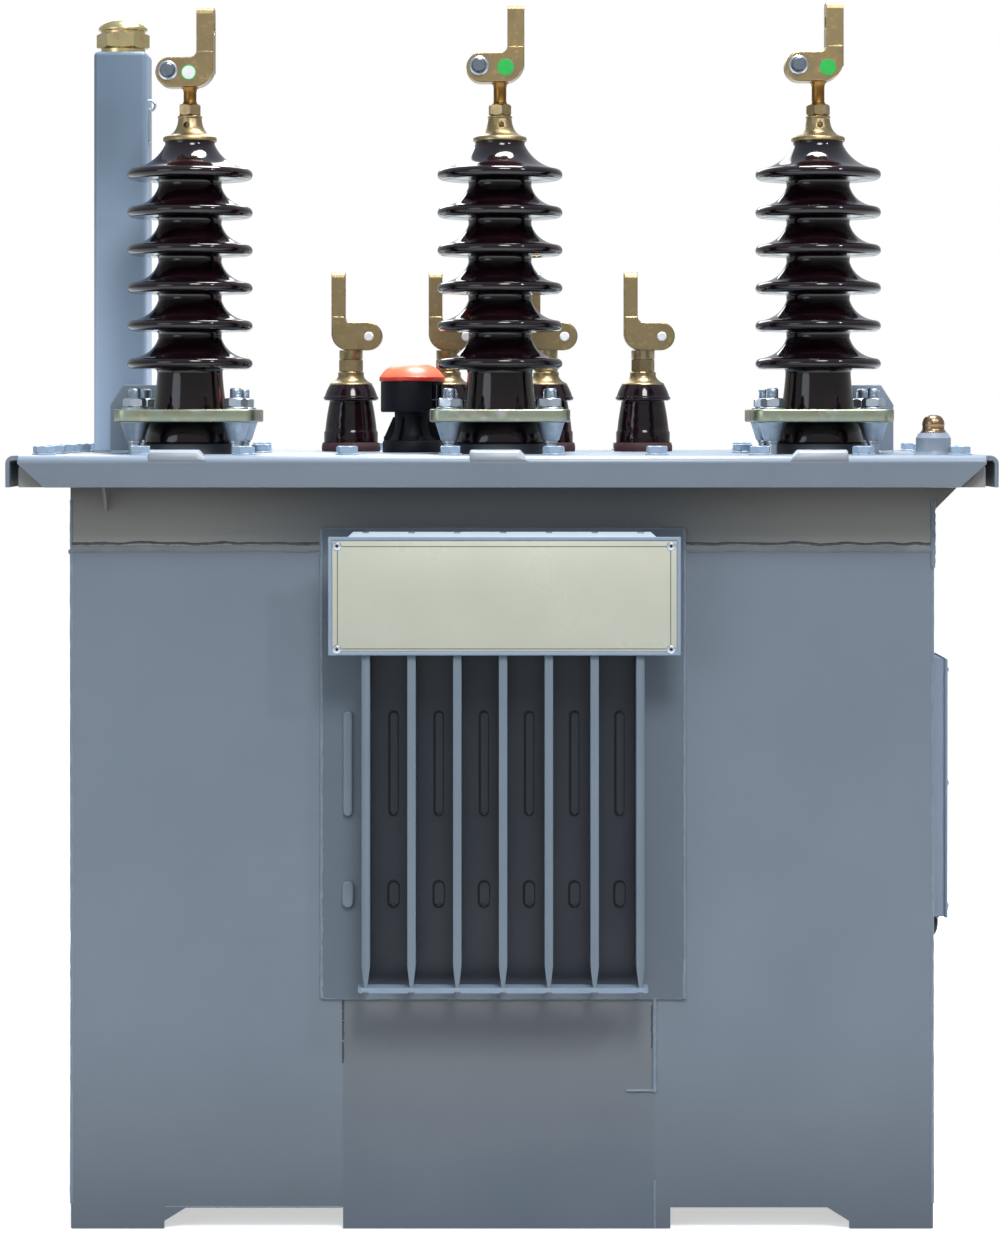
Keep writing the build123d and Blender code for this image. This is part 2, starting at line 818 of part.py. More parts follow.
def lifting_lugs():
    """Two upright plates with chamfered shoulders and an eye for a hook."""
    inner = lug_outer_x - lug_length
    high = lid_top + lug_height
    shoulder = high - lug_chamfer_height
    outline = [
        (inner, lid_top),
        (lug_outer_x, lid_top),
        (lug_outer_x, shoulder),
        (lug_outer_x - lug_chamfer_length, high),
        (inner + lug_chamfer_length, high),
        (inner, shoulder),
    ]
    lug = plate_across(outline, lug_y - lug_plate / 2, lug_y + lug_plate / 2)
    eye = Rot(90, 0, 0) * Cylinder(lug_eye_radius, 2 * lug_plate)
    lug -= Pos(lug_outer_x - lug_length / 2, lug_y, lid_top + lug_eye_height) * eye
    return [lug, mirror(lug, Plane.YZ)]


def pocket():
    """The thermometer pocket and its domed plug."""
    top = lid_top + pocket_height
    peak = top + plug_height
    plug = turned(
        [
            Line((0, top), (plug_radius, top)),
            Line((plug_radius, top), (plug_radius, top + plug_skirt)),
            dome_arc(plug_radius, top + plug_skirt, peak),
            Line((0, peak), (0, top)),
        ]
    )
    place = Pos(side_face - pocket_inset, front_face - pocket_forward, 0)
    return place * cylinder(pocket_radius, lid_top, top), place * plug


def side_box():
    """The terminal box on the right wall, with a sloping roof, and its cable gland."""
    outer = side_face + side_box_depth
    outline = [
        (side_face, side_box_bottom),
        (outer, side_box_bottom),
        (outer, side_box_top - side_box_roof_drop),
        (side_face, side_box_top),
    ]
    half = side_box_length / 2
    box = plate_across(outline, side_box_y - half, side_box_y + half)
    gland = cylinder(gland_radius, side_box_bottom - gland_length, side_box_bottom)
    return box, Pos(side_face + side_box_depth / 2, side_box_y, 0) * gland


pieces = {}

left_plate, right_plate, lower_plate = front_walls()
front_pieces = {
    "wall_left": left_plate,
    "wall_right": right_plate,
    "wall_lower": lower_plate,
    "collar": Rot(0, 0, -90) * collar_side(tank_depth / 2, rim_outer_x),
    "fin_panel": fin_panel(),
    "fin_bars": Compound(children=fin_bars()),
}
for name, piece in front_pieces.items():
    pieces["front_" + name] = piece
    pieces["rear_" + name] = to_rear(piece)

right_side_pieces = {"wall": side_wall(), "collar": collar_side(side_face, rim_outer_y)}
for name, piece in right_side_pieces.items():
    pieces["right_" + name] = piece
    pieces["left_" + name] = mirror(piece, Plane.YZ)

inner_x = side_face - wall
inner_y = tank_depth / 2 - wall
pieces["floor_plate"] = block(-inner_x, inner_x, -inner_y, inner_y, floor_height, floor_height + floor_plate)
pieces["rim_gussets"] = Compound(children=rim_gussets())
pieces["lid_gasket"] = lid_seal()
pieces["lid"] = lid_body()
pieces["nameplate_frame"], pieces["nameplate_face"] = nameplate()

hv_terminal = terminal(terminal_right, terminal_corner_radius, terminal_bar_width, terminal_bar_height)
lv_terminal = terminal(lv_terminal_right, lv_terminal_corner_radius, lv_bar_width, lv_bar_height)
hv_places = [Pos(x, hv_y, 0) for x in hv_x]
hv_seat = cylinder(hv_seat_radius, lid_top, lid_top + hv_seat_height)
pieces["hv_seats"] = Compound(children=[place * hv_seat for place in hv_places])
for number, place in enumerate(hv_places, start=1):
    pieces[f"hv_bushing_{number}"] = place * hv_porcelain()
pieces["hv_clamp_rings"] = Compound(children=[place * clamp_ring() for place in hv_places])
pieces["hv_clamp_studs"] = Compound(children=[place * stud for place in hv_places for stud in clamp_studs()])
pieces["hv_caps"] = Compound(children=[hv_cap_at(number) for number in range(len(hv_x))])
pieces["hv_terminals"] = Compound(
    children=[
        Pos(x, hv_y, hv_terminal_bottom + lift) * hv_terminal
        for x, lift in zip(hv_x, hv_terminal_lift)
    ]
)
pieces["lid_edge_tabs"] = Compound(children=[lid_edge_tab(x) for x in tab_x])

lv_places = [Pos(x, lv_y, 0) for x in lv_x]
lv_gasket = cylinder(lv_gasket_radius, lid_top, lid_top + lv_gasket_height)
for number, place in enumerate(lv_places, start=1):
    pieces[f"lv_bushing_{number}"] = place * lv_porcelain()
pieces["lv_gaskets"] = Compound(children=[place * lv_gasket for place in lv_places])
pieces["lv_caps"] = Compound(children=[place * lv_cap() for place in lv_places])
pieces["lv_terminals"] = Compound(
    children=[Pos(x, lv_y, lv_terminal_bottom) * Rot(0, 0, 180) * lv_terminal for x in lv_x]
)

pieces["relief_valve_body"], pieces["relief_valve_cap"] = relief_valve()
pieces["filler_tube"], pieces["filler_cap"] = filler()
pieces["lifting_lugs"] = Compound(children=lifting_lugs())
pieces["thermometer_pocket"], pieces["pocket_plug"] = pocket()
pieces["side_box"], pieces["side_box_gland"] = side_box()

for name, piece in pieces.items():
    export_step(piece, f"parts/{name}.step")
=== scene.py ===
"""Looks of a small oil-filled distribution transformer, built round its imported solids."""

import logging
import math
from collections import defaultdict
from contextlib import contextmanager
from dataclasses import dataclass, field
from enum import Enum
from typing import Callable, Iterator, Sequence

import bmesh
import bpy
from mathutils import Matrix, Vector


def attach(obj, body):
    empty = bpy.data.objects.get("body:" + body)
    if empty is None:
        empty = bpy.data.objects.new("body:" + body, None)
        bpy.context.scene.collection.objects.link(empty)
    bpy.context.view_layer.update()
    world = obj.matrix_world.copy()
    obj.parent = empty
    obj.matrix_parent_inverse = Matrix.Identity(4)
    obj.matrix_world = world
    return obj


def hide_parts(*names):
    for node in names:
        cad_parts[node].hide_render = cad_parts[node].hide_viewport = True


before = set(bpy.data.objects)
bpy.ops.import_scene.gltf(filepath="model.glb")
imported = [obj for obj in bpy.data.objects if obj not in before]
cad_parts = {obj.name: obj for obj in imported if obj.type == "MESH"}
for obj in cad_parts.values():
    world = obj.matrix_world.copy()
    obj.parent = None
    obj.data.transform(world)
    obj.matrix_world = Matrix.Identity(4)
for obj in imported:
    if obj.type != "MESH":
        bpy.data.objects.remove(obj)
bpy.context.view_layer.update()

LOG = logging.getLogger("transformer")
MM = 0.001
BODY = "root"
SIDES = ((0, -1), (0, 1), (1, -1), (1, 1))

Point = Sequence[float]
Outline = Sequence[Point]
Box = tuple[float, float, float, float]
Piece = bpy.types.Object
Tree = bpy.types.NodeTree
Socket = bpy.types.NodeSocket


class Element(Enum):
    """What is picked in edit mode."""

    VERT = "VERT"
    EDGE = "EDGE"


def clear() -> None:
    """Deselect everything."""
    bpy.ops.object.select_all(action="DESELECT")


def hold(piece: Piece) -> None:
    """Select one piece alone and make it active."""
    clear()
    piece.select_set(True)
    bpy.context.view_layer.objects.active = piece


@contextmanager
def editing(piece: Piece) -> Iterator[None]:
    """Work on a piece in edit mode, with all of it selected."""
    hold(piece)
    bpy.ops.object.mode_set(mode="EDIT")
    bpy.ops.mesh.select_mode(type="VERT")
    bpy.ops.mesh.select_all(action="SELECT")
    yield
    bpy.ops.object.mode_set(mode="OBJECT")


def pick(element: Element, test: Callable) -> None:
    """Select the elements of the mesh in edit mode that pass a test.

    Args:
        element: what is picked.
        test: tells whether an element is wanted.
    """
    bpy.ops.mesh.select_mode(type=element.value)
    bpy.ops.mesh.select_all(action="DESELECT")
    data = bpy.context.edit_object.data
    mesh = bmesh.from_edit_mesh(data)
    for item in mesh.verts if element is Element.VERT else mesh.edges:
        if test(item):
            item.select_set(True)
    mesh.select_flush_mode()
    bmesh.update_edit_mesh(data)


def outward() -> None:
    """Merge doubles and turn every face of the mesh in edit mode outwards."""
    bpy.ops.mesh.select_all(action="SELECT")
    bpy.ops.mesh.remove_doubles(threshold=1e-6)
    bpy.ops.mesh.normals_make_consistent(inside=False)


def new_piece(name: str) -> Piece:
    """Name the primitive that was just added, and put its place, turn and scale into its mesh."""
    piece = bpy.context.object
    piece.name = piece.data.name = name
    hold(piece)
    bpy.ops.object.transform_apply(location=True, rotation=True, scale=True)
    return piece


def modify(piece: Piece, kind: str, **settings: object) -> Piece:
    """Add a modifier, set it and apply it.

    Args:
        piece: the piece to change.
        kind: the modifier's type.
        settings: its settings by name.

    Returns:
        The piece.
    """
    hold(piece)
    modifier = piece.modifiers.new(kind.title(), kind)
    for key, value in settings.items():
        setattr(modifier, key, value)
    bpy.ops.object.modifier_apply(modifier=modifier.name)
    return piece


def soften(piece: Piece, width: float, segments: int = 2, angle: float = 35.0) -> Piece:
    """Break the sharp edges of a piece by a width in mm."""
    return modify(
        piece, "BEVEL", width=width * MM, segments=segments, limit_method="ANGLE",
        angle_limit=math.radians(angle), miter_outer="MITER_ARC", use_clamp_overlap=True,
    )


def round_off(piece: Piece, test: Callable, width: float, segments: int) -> Piece:
    """Bevel the edges of a piece that pass a test, by a width in mm."""
    with editing(piece):
        pick(Element.EDGE, test)
        bpy.ops.mesh.bevel(offset=width * MM, segments=segments, affect="EDGES")
    return piece


def smooth(piece: Piece, angle: float = 32.0) -> Piece:
    """Shade a piece smooth except over edges sharper than an angle in degrees."""
    hold(piece)
    bpy.ops.object.shade_smooth_by_angle(angle=math.radians(angle))
    return piece


def cube(name: str, low: Point, high: Point) -> Piece:
    """Add a box between two corners in mm."""
    clear()
    middle = [(a + b) / 2 * MM for a, b in zip(low, high)]
    bpy.ops.mesh.primitive_cube_add(size=1, location=middle)
    bpy.context.object.scale = [(b - a) * MM for a, b in zip(low, high)]
    return new_piece(name)


def rod(name: str, middle: Point, radius: float, length: float, axis: str = "Z", sides: int = 48) -> Piece:
    """Add a cylinder in mm whose axis is X, Y or Z."""
    clear()
    turn = {"X": (0, math.pi / 2, 0), "Y": (math.pi / 2, 0, 0), "Z": (0, 0, 0)}[axis]
    bpy.ops.mesh.primitive_cylinder_add(
        vertices=sides, radius=radius * MM, depth=length * MM, location=Vector(middle) * MM, rotation=turn
    )
    return new_piece(name)


def wire(name: str, points: Outline) -> Piece:
    """Draw a line through points in mm, extruded from one vertex."""
    clear()
    last = Vector(points[0]) * MM
    bpy.ops.mesh.primitive_plane_add(size=MM, location=last)
    piece = new_piece(name)
    with editing(piece):
        bpy.ops.mesh.merge(type="CENTER")
        for point in points[1:]:
            here = Vector(point) * MM
            bpy.ops.mesh.extrude_vertices_move(TRANSFORM_OT_translate={"value": here - last})
            last = here
    return piece


def lathe(name: str, profile: Outline, base: float = 0.0, steps: int = 40, place: Point = (0, 0)) -> Piece:
    """Spin a profile about a vertical axis.

    Args:
        name: the piece's name.
        profile: radius and height pairs in mm; its ends are closed to the axis.
        base: level in mm that the heights are counted from.
        steps: steps of a full turn.
        place: X and Y of the axis in mm.

    Returns:
        A closed solid of revolution.
    """
    x, y = place
    points = [(0, profile[0][1]), *profile]
    if profile[-1][0]:
        points.append((0, profile[-1][1]))
    piece = wire(name, [(x + radius, y, base + height) for radius, height in points])
    with editing(piece):
        bpy.ops.mesh.spin(steps=steps, angle=2 * math.pi, center=(x * MM, y * MM, 0), axis=(0, 0, 1))
        outward()
    return piece


def turned(
    name: str,
    profile: Outline,
    base: float = 0.0,
    steps: int = 40,
    angle: float = 32.0,
    place: Point = (0, 0),
) -> Piece:
    """Spin a profile and shade it smooth except over edges sharper than an angle."""
    return smooth(lathe(name, profile, base, steps, place), angle)


def plate(name: str, outline: Outline, through: Point) -> Piece:
    """Raise a flat outline of points in mm by a vector in mm."""
    piece = wire(name, outline)
    with editing(piece):
        pick(Element.VERT, lambda vert: len(vert.link_edges) == 1)
        bpy.ops.mesh.edge_face_add()
        bpy.ops.mesh.select_all(action="SELECT")
        bpy.ops.mesh.edge_face_add()
        bpy.ops.mesh.extrude_region_move(TRANSFORM_OT_translate={"value": Vector(through) * MM})
        outward()
    return piece


def upright(name: str, outline: Outline, y: float, depth: float) -> Piece:
    """Raise an outline of X and Z in mm along Y, from one place through a depth."""
    return plate(name, [(x, y, z) for x, z in outline], (0, depth, 0))


def arc(middle: Point, radius: float, start: float, stop: float, count: int) -> list[Point]:
    """Points of an arc in a plane, angles in degrees."""
    angles = [math.radians(start + (stop - start) * step / count) for step in range(count + 1)]
    return [(middle[0] + radius * math.cos(a), middle[1] + radius * math.sin(a)) for a in angles]


def oval(x: float, low: float, high: float, radius: float, count: int) -> list[Point]:
    """Points of an upright oval whose round ends have their centres at two levels."""
    return [*arc((x, high), radius, 0, 180, count), *arc((x, low), radius, 180, 360, count)]


def bow(start: Point, via: Point, stop: Point, count: int) -> list[Point]:
    """Points of a smooth curve from one point past a second to a third."""
    points = []
    for step in range(count + 1):
        t = step / count
        a, b, c = (1 - t) * (1 - 2 * t), 4 * t * (1 - t), t * (2 * t - 1)
        points.append(tuple(a * p + b * q + c * r for p, q, r in zip(start, via, stop)))
    return points


def tall(edge: bmesh.types.BMEdge) -> bool:
    """Tell whether an edge stands more than 1 mm high."""
    return abs(edge.verts[0].co.z - edge.verts[1].co.z) > 1 * MM


def front_rim(y: float, z: float) -> Callable:
    """Make a test for the edges in front of one plane and above a level, both in mm."""
    return lambda edge: all(vert.co.y < y * MM and vert.co.z > z * MM for vert in edge.verts)


def cut(piece: Piece, cutter: Piece, operation: str = "DIFFERENCE") -> Piece:
    """Cut one piece by another, which is used up."""
    modify(piece, "BOOLEAN", object=cutter, operation=operation, solver="EXACT")
    bpy.data.objects.remove(cutter)
    return piece


def put(piece: Piece, place: Point = (0, 0, 0), turn: float = 0.0, axis: str = "Z") -> Piece:
    """Turn a piece's mesh about an axis through the origin, in degrees, and then shift it in mm."""
    spin = Matrix.Rotation(math.radians(turn), 4, axis)
    piece.data.transform(Matrix.Translation(Vector(place) * MM) @ spin)
    return piece


def again(piece: Piece, name: str, place: Point = (0, 0, 0), turn: float = 0.0) -> Piece:
    """Copy a piece with its own mesh, turned about the Z axis in degrees and then shifted in mm."""
    twin = piece.copy()
    twin.data = piece.data.copy()
    twin.name = twin.data.name = name
    bpy.context.collection.objects.link(twin)
    return put(twin, place, turn)


def discard(*models: Piece) -> None:
    """Remove models whose copies are in place."""
    for model in models:
        bpy.data.objects.remove(model)


def frill(model: Piece, count: int, start: float = 0.0) -> list[Piece]:
    """Copy a piece round the Z axis and use the model up."""
    copies = [again(model, model.name, turn=start + 360 * number / count) for number in range(count)]
    discard(model)
    return copies


def join(pieces: Sequence[Piece], name: str) -> Piece:
    """Join pieces into one."""
    hold(pieces[0])
    for piece in pieces:
        piece.select_set(True)
    if len(pieces) > 1:
        bpy.ops.object.join()
    pieces[0].name = pieces[0].data.name = name
    return pieces[0]


def clouds(name: str, size: float) -> bpy.types.Texture:
    """A cloudy pattern for displacement, its lumps sized in mm."""
    texture = bpy.data.textures.get(name) or bpy.data.textures.new(name, "CLOUDS")
    texture.noise_scale = size * MM
    texture.noise_depth = 1
    return texture


def bead(start: Point, axis: str, stop: float, radius: float, lump: float, sway: float = 0.0) -> Piece:
    """Lay a lumpy weld bead along an axis.

    Args:
        start: one end in mm.
        axis: X, Y or Z.
        stop: where it ends on that axis, in mm.
        radius: the bead's radius in mm.
        lump: height of its lumps in mm.
        sway: how far it wanders up and down, in mm.

    Returns:
        The bead.
    """
    index = "XYZ".index(axis)
    middle = list(start)
    middle[index] = (start[index] + stop) / 2
    length = abs(stop - start[index])
    piece = rod("bead", middle, radius, length, axis, 10)
    with editing(piece):
        pick(Element.EDGE, lambda e: abs(e.verts[0].co[index] - e.verts[1].co[index]) > 0.5 * length * MM)
        bpy.ops.mesh.subdivide(number_cuts=min(100, max(2, int(length / 2.8))))
    modify(piece, "DISPLACE", texture=clouds("weld_lumps", 4.0), strength=lump * MM, mid_level=0.5)
    if sway:
        waves = clouds("weld_sway", 28.0)
        modify(piece, "DISPLACE", texture=waves, strength=sway * MM, mid_level=0.5, direction="Z")
    return smooth(piece, 60)


def nut(
    name: str, low: float, high: float, flats: float, chamfer: float = 0.9, place: Point = (0, 0)
) -> Piece:
    """A hexagon nut or bolt head with turned corners, a corner to each side.

    Args:
        name: the piece's name.
        low: its lower level in mm.
        high: its upper level in mm.
        flats: width across its flats in mm.
        chamfer: height of the turned corners in mm.
        place: X and Y of its axis in mm.

    Returns:
        The nut.
    """
    corner = flats / math.sqrt(3)
    clear()
    bpy.ops.mesh.primitive_cylinder_add(
        vertices=6, radius=corner * MM, depth=(high - low) * MM,
        location=(place[0] * MM, place[1] * MM, (low + high) / 2 * MM), rotation=(0, 0, math.pi / 6),
    )
    piece = new_piece(name)
    face = 0.47 * flats
    barrel = [(face, low), (corner, low + chamfer), (corner, high - chamfer), (face, high)]
    return smooth(cut(piece, lathe("barrel", barrel, 0.0, 48, place), "INTERSECT"), 25)


def rgb(code: str) -> tuple[float, float, float, float]:
    """Turn an sRGB hex value into linear colour."""
    values = [int(code[place:place + 2], 16) / 255 for place in (1, 3, 5)]
    linear = [v / 12.92 if v <= 0.04045 else ((v + 0.055) / 1.055) ** 2.4 for v in values]
    return (*linear, 1.0)


def blank(owner: bpy.types.Material | bpy.types.World) -> Tree:
    """Give a material or a world an empty node tree."""
    owner.use_nodes = True
    owner.node_tree.nodes.clear()
    return owner.node_tree


def add_node(tree: Tree, kind: str, inputs: dict | None = None, **settings: object) -> bpy.types.Node:
    """Add a shader node.

    Args:
        tree: the node tree.
        kind: the node's type, without its ShaderNode prefix.
        inputs: constants and sockets to link, by input socket name or number.
        settings: the node's own settings.

    Returns:
        The node.
    """
    node = tree.nodes.new("ShaderNode" + kind)
    for key, value in settings.items():
        setattr(node, key, value)
    for key, value in (inputs or {}).items():
        if isinstance(value, Socket):
            tree.links.new(value, node.inputs[key])
        else:
            node.inputs[key].default_value = value
    return node


def noise(tree: Tree, place: Socket, size_mm: float, detail: float, roughness: float = 0.5) -> Socket:
    """A cloudy pattern, its lumps sized in mm."""
    inputs = {"Vector": place, "Scale": 1 / (size_mm * MM), "Detail": detail, "Roughness": roughness}
    return add_node(tree, "TexNoise", inputs).outputs["Fac"]


def ramp(
    tree: Tree,
    value: Socket,
    low: float,
    high: float,
    start: float = 0.0,
    stop: float = 1.0,
    kind: str = "LINEAR",
) -> Socket:
    """Turn a range of values into a share, clamped at both ends."""
    inputs = {"Value": value, "From Min": low, "From Max": high, "To Min": start, "To Max": stop}
    return add_node(tree, "MapRange", inputs, interpolation_type=kind).outputs["Result"]


def blend(tree: Tree, share: Socket | float, one: Socket | Point, two: Socket | Point) -> Socket:
    """Mix two colours by a share."""
    return add_node(tree, "Mix", {0: share, 6: one, 7: two}, data_type="RGBA").outputs[2]


def reckon(tree: Tree, operation: str, one: Socket, two: Socket | float = 0.0) -> Socket:
    """Work one or two values out."""
    return add_node(tree, "Math", {0: one, 1: two}, operation=operation).outputs[0]


def bump(tree: Tree, height: Socket, rise_mm: float, inputs: dict | None = None) -> Socket:
    """Turn a pattern into relief of a height in mm."""
    return add_node(
        tree, "Bump", {"Height": height, "Strength": 1.0, "Distance": rise_mm * MM, **(inputs or {})}
    ).outputs["Normal"]


@dataclass(frozen=True)
class Finish:
    """One surface finish: two tones that drift into each other, a grain and a gloss."""

    name: str
    tone: str
    tone_two: str
    roughness: float
    blotch_mm: float
    blotch_contrast: float = 1.0
    roughness_spread: float = 0.05
    grain_mm: float = 2.0
    grain_height_mm: float = 0.05
    swell_mm: float = 0.0
    swell_height_mm: float = 0.0
    stretch: tuple[float, float, float] = (1.0, 1.0, 1.0)
    coat: float = 0.0
    coat_roughness: float = 0.05
    ior: float = 1.5
    metallic: float = 0.0
    fleck: str = ""
    fleck_mm: float = 6.0

    def material(self) -> bpy.types.Material:
        """Build the material, or return it if it is there."""
        found = bpy.data.materials.get(self.name)
        if found:
            return found
        material = bpy.data.materials.new(self.name)
        tree = blank(material)
        place = add_node(tree, "TexCoord").outputs["Object"]
        drift = noise(tree, place, self.blotch_mm, 3.0, 0.55)
        half = 0.25 / self.blotch_contrast
        colour = blend(tree, ramp(tree, drift, 0.5 - half, 0.5 + half), rgb(self.tone), rgb(self.tone_two))
        low, high = self.roughness - self.roughness_spread, self.roughness + self.roughness_spread
        grain = add_node(tree, "Mapping", {"Vector": place, "Scale": self.stretch}).outputs["Vector"]
        relief = bump(tree, noise(tree, grain, self.grain_mm, 2.0), self.grain_height_mm)
        if self.swell_mm:
            swell = noise(tree, place, self.swell_mm, 1.0)
            relief = bump(tree, swell, self.swell_height_mm, {"Normal": relief})
        shader = add_node(tree, "BsdfPrincipled", {
            "Base Color": self.tint(tree, place, colour), "Metallic": self.metallic, "Normal": relief,
            "Roughness": ramp(tree, drift, 0.3, 0.7, low, high), "IOR": self.ior,
            "Coat Weight": self.coat, "Coat Roughness": self.coat_roughness,
        })
        add_node(tree, "OutputMaterial", {"Surface": shader.outputs["BSDF"]})
        return material

    def tint(self, tree: Tree, place: Socket, colour: Socket) -> Socket:
        """Scatter flecks of a third tone over the colour, if the finish has any."""
        if not self.fleck:
            return colour
        share = ramp(tree, noise(tree, place, self.fleck_mm, 4.0), 0.56, 0.74)
        return blend(tree, share, colour, rgb(self.fleck))


@dataclass(frozen=True)
class Metal(Finish):
    """A bare or plated metal."""

    metallic: float = 1.0


@dataclass(frozen=True)
class FinPanelEnamel(Finish):
    """Tank enamel with painted shade deep between the fins."""

    valley_shade_tone: str = "#151E2A"
    margin_tone: str = "#626D78"
    margin_share: float = 0.75
    open_mm: float = 263.0
    deep_mm: float = 232.0
    row_x_mm: float = 1.0
    row_half_mm: float = 131.0
    edge_mm: float = 3.0
    low_mm: float = 223.0
    high_mm: float = 654.0
    fade_mm: float = 8.0

    def tint(self, tree: Tree, place: Socket, colour: Socket) -> Socket:
        """Paint shade into the valleys by their depth, within the row of fins."""
        x, y, z = add_node(tree, "SeparateXYZ", {"Vector": place}).outputs
        off = reckon(tree, "ABSOLUTE", reckon(tree, "SUBTRACT", x, self.row_x_mm * MM))
        half, edge = self.row_half_mm, self.edge_mm
        inside = ramp(tree, off, (half + edge) * MM, (half - edge) * MM)
        share = ramp(tree, reckon(tree, "ABSOLUTE", y), self.open_mm * MM, self.deep_mm * MM)
        above = ramp(tree, z, self.low_mm * MM, (self.low_mm + self.fade_mm) * MM)
        below = ramp(tree, z, (self.high_mm + self.fade_mm) * MM, self.high_mm * MM)
        for factor in (inside, above, below):
            share = reckon(tree, "MULTIPLY", share, factor)
        margin = blend(tree, self.margin_share, colour, rgb(self.margin_tone))
        return blend(tree, share, blend(tree, inside, margin, colour), rgb(self.valley_shade_tone))


@dataclass(frozen=True)
class FadedEnamel(Finish):
    """Enamel that drifts towards another tone along one axis."""

    other_tone: str = "#5A6470"
    axis: str = "Z"
    from_mm: float = 300.0
    to_mm: float = 0.0
    strength: float = 0.8

    def tint(self, tree: Tree, place: Socket, colour: Socket) -> Socket:
        """Blend the other tone in by the distance from the middle or the ground."""
        axes = add_node(tree, "SeparateXYZ", {"Vector": place}).outputs
        off = reckon(tree, "ABSOLUTE", axes[self.axis])
        share = ramp(tree, off, self.from_mm * MM, self.to_mm * MM, 0.0, self.strength, "SMOOTHSTEP")
        return blend(tree, share, colour, rgb(self.other_tone))


# Two-pack enamel sprayed on welded sheet steel: satin, a slight orange peel, and painted shade darkening it
# towards the ground.
TANK_ENAMEL = FadedEnamel(
    "tank_enamel_grey_blue", "#7A8592", "#717C88", 0.36, 160.0, 0.8, grain_mm=3.0, grain_height_mm=0.035,
    swell_mm=90.0, swell_height_mm=0.9, coat=0.15, coat_roughness=0.22, ior=1.42,
    other_tone="#5B646E", from_mm=230.0,
)
# The same enamel on the lower plate, darker as painted shade towards the ground and warmer brown-grey higher
# up under the fins.
LOWER_ENAMEL = FadedEnamel(
    "lower_enamel_dusty", "#68727D", "#626C78", 0.40, 120.0, 0.8, grain_mm=3.0, grain_height_mm=0.035,
    swell_mm=90.0, swell_height_mm=0.9, ior=1.42,
    other_tone="#7E8080", from_mm=30.0, to_mm=190.0, strength=0.5,
)
# The same enamel on the filler tube, bluer as a painted sky reflection, and paler near the lid as painted
# light thrown up off the lid.
TUBE_ENAMEL = FadedEnamel(
    "tube_enamel_blue", "#647587", "#5F7082", 0.38, 90.0, 0.8, grain_mm=3.0, grain_height_mm=0.035, coat=0.15,
    coat_roughness=0.25, ior=1.42, other_tone="#B0C3DA", from_mm=1080.0, to_mm=790.0, strength=0.9,
)
# Paler, bluer enamel on the terminal box, as painted light and painted sky reflection.
BOX_ENAMEL = Finish(
    "box_enamel_blue", "#8C9BAC", "#8594A5", 0.40, 90.0, 0.8, grain_mm=3.0, grain_height_mm=0.035,
)
# The same enamel, paler and bluer as painted light and painted sky reflection, over bolt heads, the fins'
# bars and the sign's holder.
PALE_ENAMEL = Finish("pale_enamel_blue", "#95A6B8", "#8A9CB0", 0.42, 30.0, 0.8, grain_height_mm=0.04)
# Paler enamel on the tabs, with painted shade near the lower edge.
TAB_ENAMEL = FadedEnamel(
    "tab_enamel_pale", "#858B93", "#7D838C", 0.42, 40.0, 0.8, grain_height_mm=0.04,
    other_tone="#6E7074", from_mm=732.0, to_mm=729.0, strength=1.0,
)
# The same enamel, near white as a painted highlight, on the lip over the sign.
LIP_ENAMEL = Finish("lip_enamel_painted_highlight", "#CBD6DE", "#BECAD4", 0.40, 40.0, 0.8, grain_height_mm=0.04)
# Near-black painted shade on the rims of the pressings deep between the fins, and lighter grey spots at their
# lower ends.
PRESSING_ENAMEL = Finish("pressing_enamel_dark", "#0A0E15", "#0C1018", 0.6, 20.0, ior=1.3)
PRESSING_SPOTS = Finish("pressing_dust", "#3B3B39", "#323230", 0.8, 8.0, grain_height_mm=0.1)
# Lighter grey enamel over the broad weld under the collar, a painted highlight of the weld lit from above.
SEAM_ENAMEL = Finish(
    "seam_enamel_grey", "#83888C", "#777D83", 0.50, 25.0, roughness_spread=0.06, grain_mm=2.5,
    grain_height_mm=0.25, ior=1.42,
)
# Dark enamel for the painted shadow line above the broad weld and the painted shade under the bushings, and
# for the dark stitches of the lower joints.
SEAM_SHADOW = Finish("seam_shadow_enamel", "#363B44", "#2B3038", 0.55, 20.0)
# The same enamel on the collar, tinted warm grey for the painted light in the shade under the lid, and darker
# over the middle of the front and rear as painted shade.
COLLAR_ENAMEL = FadedEnamel(
    "collar_enamel_grey", "#A2A19D", "#979692", 0.40, 140.0, 0.8, grain_mm=3.0, grain_height_mm=0.035,
    ior=1.42, other_tone="#5B6066", axis="X", from_mm=330.0, to_mm=110.0,
)
# The same enamel over a folded sheet, with painted shade deep in its valleys.
FIN_ENAMEL = FinPanelEnamel(
    "fin_enamel_grey_blue", "#7D8A97", "#74818D", 0.40, 120.0, 0.8, grain_mm=2.5, grain_height_mm=0.03,
    ior=1.40,
)
# Enamel over weld beads and small ground edges: lumpy and a little lighter.
WELD_ENAMEL = Finish(
    "weld_enamel_grey_blue", "#7E8B98", "#6E7B88", 0.40, 12.0, roughness_spread=0.08, grain_mm=1.6,
    grain_height_mm=0.25, coat=0.2, coat_roughness=0.25,
)
# Brown-black feldspar glaze on fired porcelain: deep, glossy, reddish where it is thin.
PORCELAIN = Finish(
    "porcelain_brown_glaze", "#0D070A", "#1D0B11", 0.10, 24.0, roughness_spread=0.02, grain_mm=14.0,
    grain_height_mm=0.02, ior=1.42,
)
# Yellow-passivated zinc on a steel plate: olive with green and pale drifts.
PASSIVATED_ZINC = Metal(
    "zinc_yellow_passivated", "#9B9B82", "#899486", 0.34, 16.0, 1.2, 0.08, 1.4, 0.03,
    fleck="#AEABA6", fleck_mm=14.0,
)
